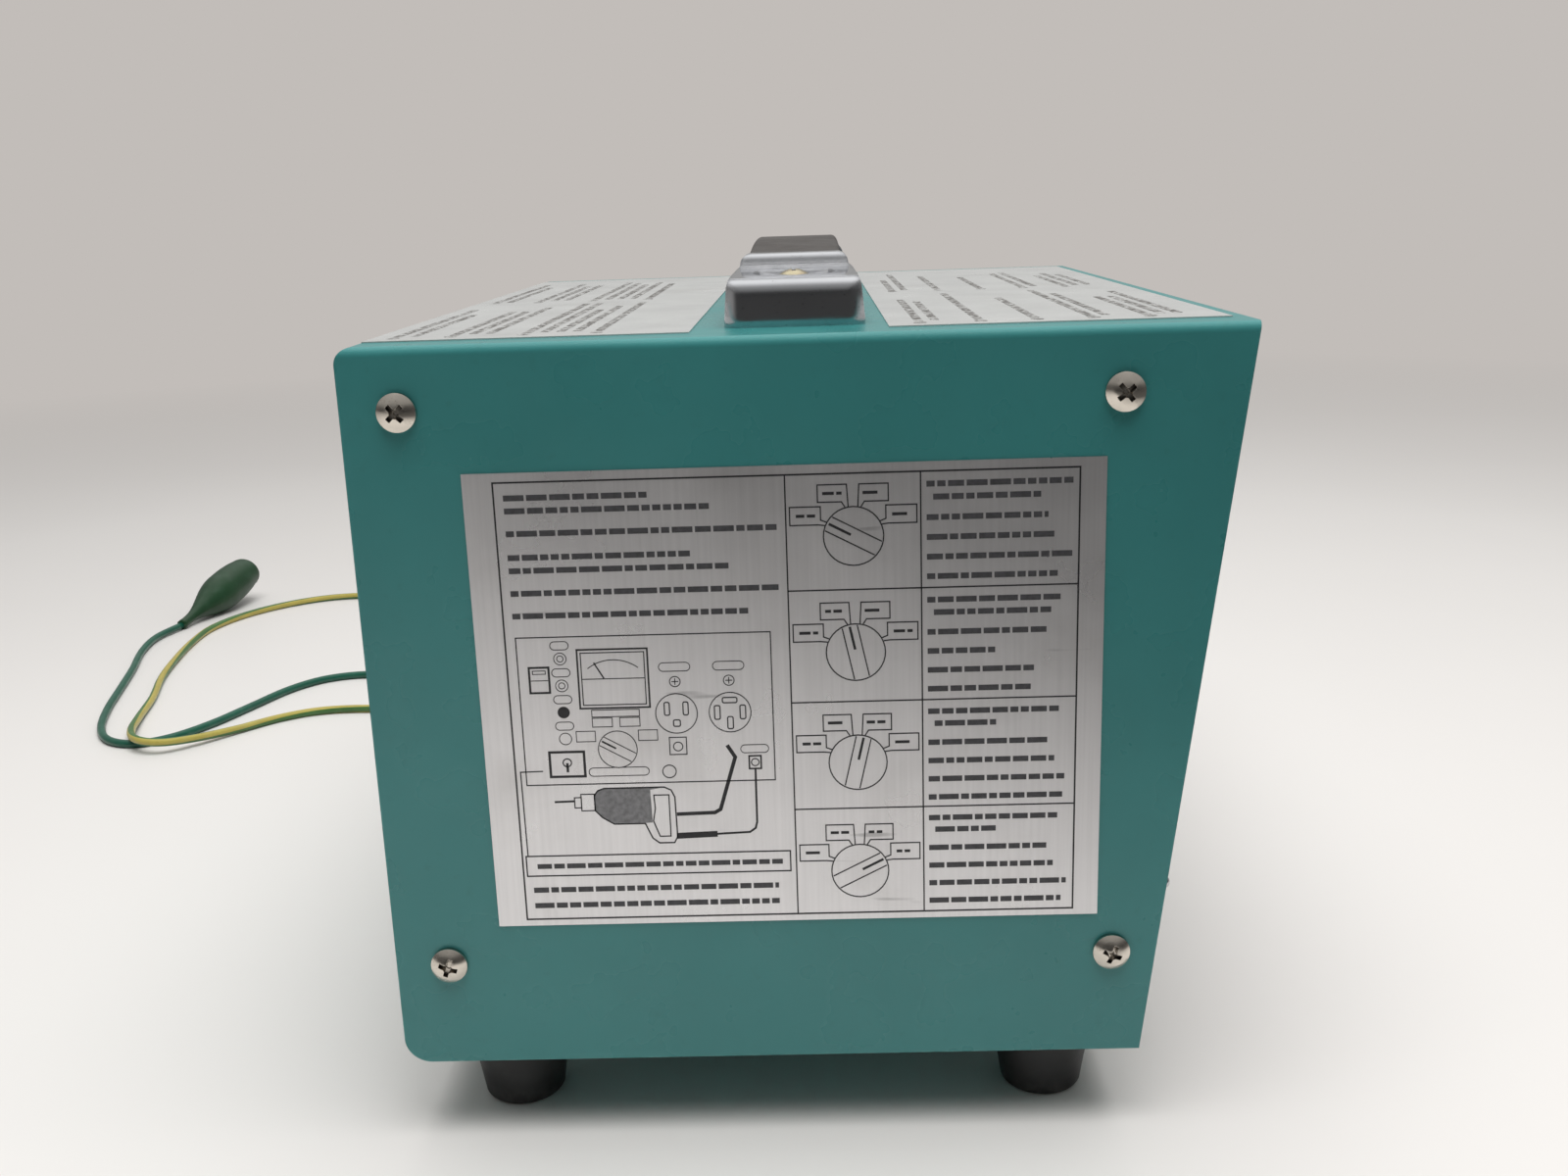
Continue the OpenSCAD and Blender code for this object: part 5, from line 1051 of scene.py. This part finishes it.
def make_floor():
    """Pale floor that melts into the backdrop. For reflections it ends in a dim room at -X, -Y."""
    f = Finish("floor", FLOOR, 0.5)
    place = f.add("TexCoord").outputs["Object"]
    centred = f.add("Mapping", {"Vector": place, "Location": (-0.1, -0.1, 0)}).outputs["Vector"]
    away = f.add("VectorMath", {0: centred}, operation="LENGTH").outputs["Value"]
    seen = f.add("LightPath").outputs["Is Camera Ray"]
    spot = f.add("SeparateXYZ", {0: place})
    left = f.math("ADD", spot.outputs["X"], f.math("MULTIPLY", spot.outputs["Y"], DIM_SLANT))
    dim = f.math("MULTIPLY", f.span(left, DIM_START, DIM_END), f.math("SUBTRACT", 1.0, seen))
    f.paint(f.mix(dim, f.tint(3, 0.012), DIM_FLOOR))
    f.bump(f.noise(120, 3), 0.05, 0.3)
    glow = f.add("Emission", {"Color": BACKDROP, "Strength": 1.0}).outputs[0]
    far = f.math("MULTIPLY", f.span(away, MELT_START, MELT_END), seen)
    blend = f.add("MixShader", {0: far, 1: f.shader.outputs[0], 2: glow}).outputs[0]
    f.tree.links.new(blend, f.tree.nodes["Material Output"].inputs["Surface"])
    mesh = bpy.data.meshes.new("floor")
    corners = [(x * FLOOR_REACH, y * FLOOR_REACH, 0) for x, y in ((-1, -1), (1, -1), (1, 1), (-1, 1))]
    mesh.from_pydata(corners, [], [(0, 1, 2, 3)])
    mesh.materials.append(f.material)
    floor = bpy.data.objects.new("floor", mesh)
    bpy.context.scene.collection.objects.link(floor)


# Brightness of the room by direction: an axis, then pairs of the direction's cosine to it and the
# value there. The first two pairs are the ramp's own stops, and the others are added
AMBIENT_AXIS, AMBIENT = (0.75, 0, 0.66), ((-1, 0.03), (1, 0.6), (-0.2, 0.12), (0.4, 0.41))
MIRROR_AXIS, MIRRORED = (0.35, 0, 0.94), ((-0.4, 0.02), (0.97, 1.3), (0.0, 0.09), (0.35, 0.36),
                                          (0.7, 0.42))
WARMTH = (1, 0.99, 0.975)


def make_world():
    """Backdrop for the camera and glass. Light and reflections: dim towards -X, bright above."""
    world = bpy.data.worlds.new("studio")
    bpy.context.scene.world = world
    world.use_nodes = True
    tree = world.node_tree
    tree.nodes.clear()

    def add(kind, inputs=None, **settings):
        return add_node(tree, kind, inputs, **settings)

    direction = add("TexCoord").outputs["Generated"]

    def surround(axis, stops, strength):
        """Background whose brightness follows the direction along the axis."""
        along = add("VectorMath", {0: direction, 1: Vector(axis).normalized()},
                    operation="DOT_PRODUCT").outputs["Value"]
        share = add("MapRange", {"Value": along, "From Min": -1.0, "From Max": 1.0}).outputs["Result"]
        ramp = add("ValToRGB", {"Fac": share})
        ramp.color_ramp.interpolation = "EASE"
        elements = ramp.color_ramp.elements
        for i, (position, value) in enumerate(stops):
            stop = elements[i] if i < 2 else elements.new(position)
            stop.position = (position + 1) / 2
            stop.color = [value / strength * warmth for warmth in WARMTH] + [1]
        return add("Background", {"Color": ramp.outputs["Color"], "Strength": strength}).outputs[0]

    ambient = surround(AMBIENT_AXIS, AMBIENT, strength=1.0)
    mirrored = surround(MIRROR_AXIS, MIRRORED, strength=2.0)
    path = add("LightPath")
    lit = add("MixShader", {0: path.outputs["Is Glossy Ray"], 1: ambient, 2: mirrored}).outputs[0]
    clear = add("Math", {0: path.outputs["Is Camera Ray"], 1: path.outputs["Is Transmission Ray"]},
                operation="MAXIMUM").outputs[0]
    plain = add("Background", {"Color": BACKDROP, "Strength": 1.0}).outputs[0]
    seen = add("MixShader", {0: clear, 1: lit, 2: plain}).outputs[0]
    tree.links.new(seen, add("OutputWorld").inputs["Surface"])


# Place, aim and size of the lamp in metres, and its power in watts
LAMP_AT, LAMP_AIM, LAMP_SIZE, LAMP_POWER = (-0.3, -0.08, 1.45), (-0.28, -0.05, 0.1), 1.15, 23.5


def make_lamp():
    """One large soft lamp above, which shows in no reflection."""
    data = bpy.data.lights.new("above", "AREA")
    data.shape, data.size, data.energy = "SQUARE", LAMP_SIZE, LAMP_POWER
    lamp = bpy.data.objects.new("above", data)
    bpy.context.scene.collection.objects.link(lamp)
    lamp.location = LAMP_AT
    lamp.rotation_euler = (Vector(LAMP_AIM) - Vector(LAMP_AT)).to_track_quat("-Z", "Y").to_euler()
    lamp.visible_glossy = False


make_floor()
make_world()
make_lamp()
bpy.context.scene.view_settings.view_transform = "Standard"
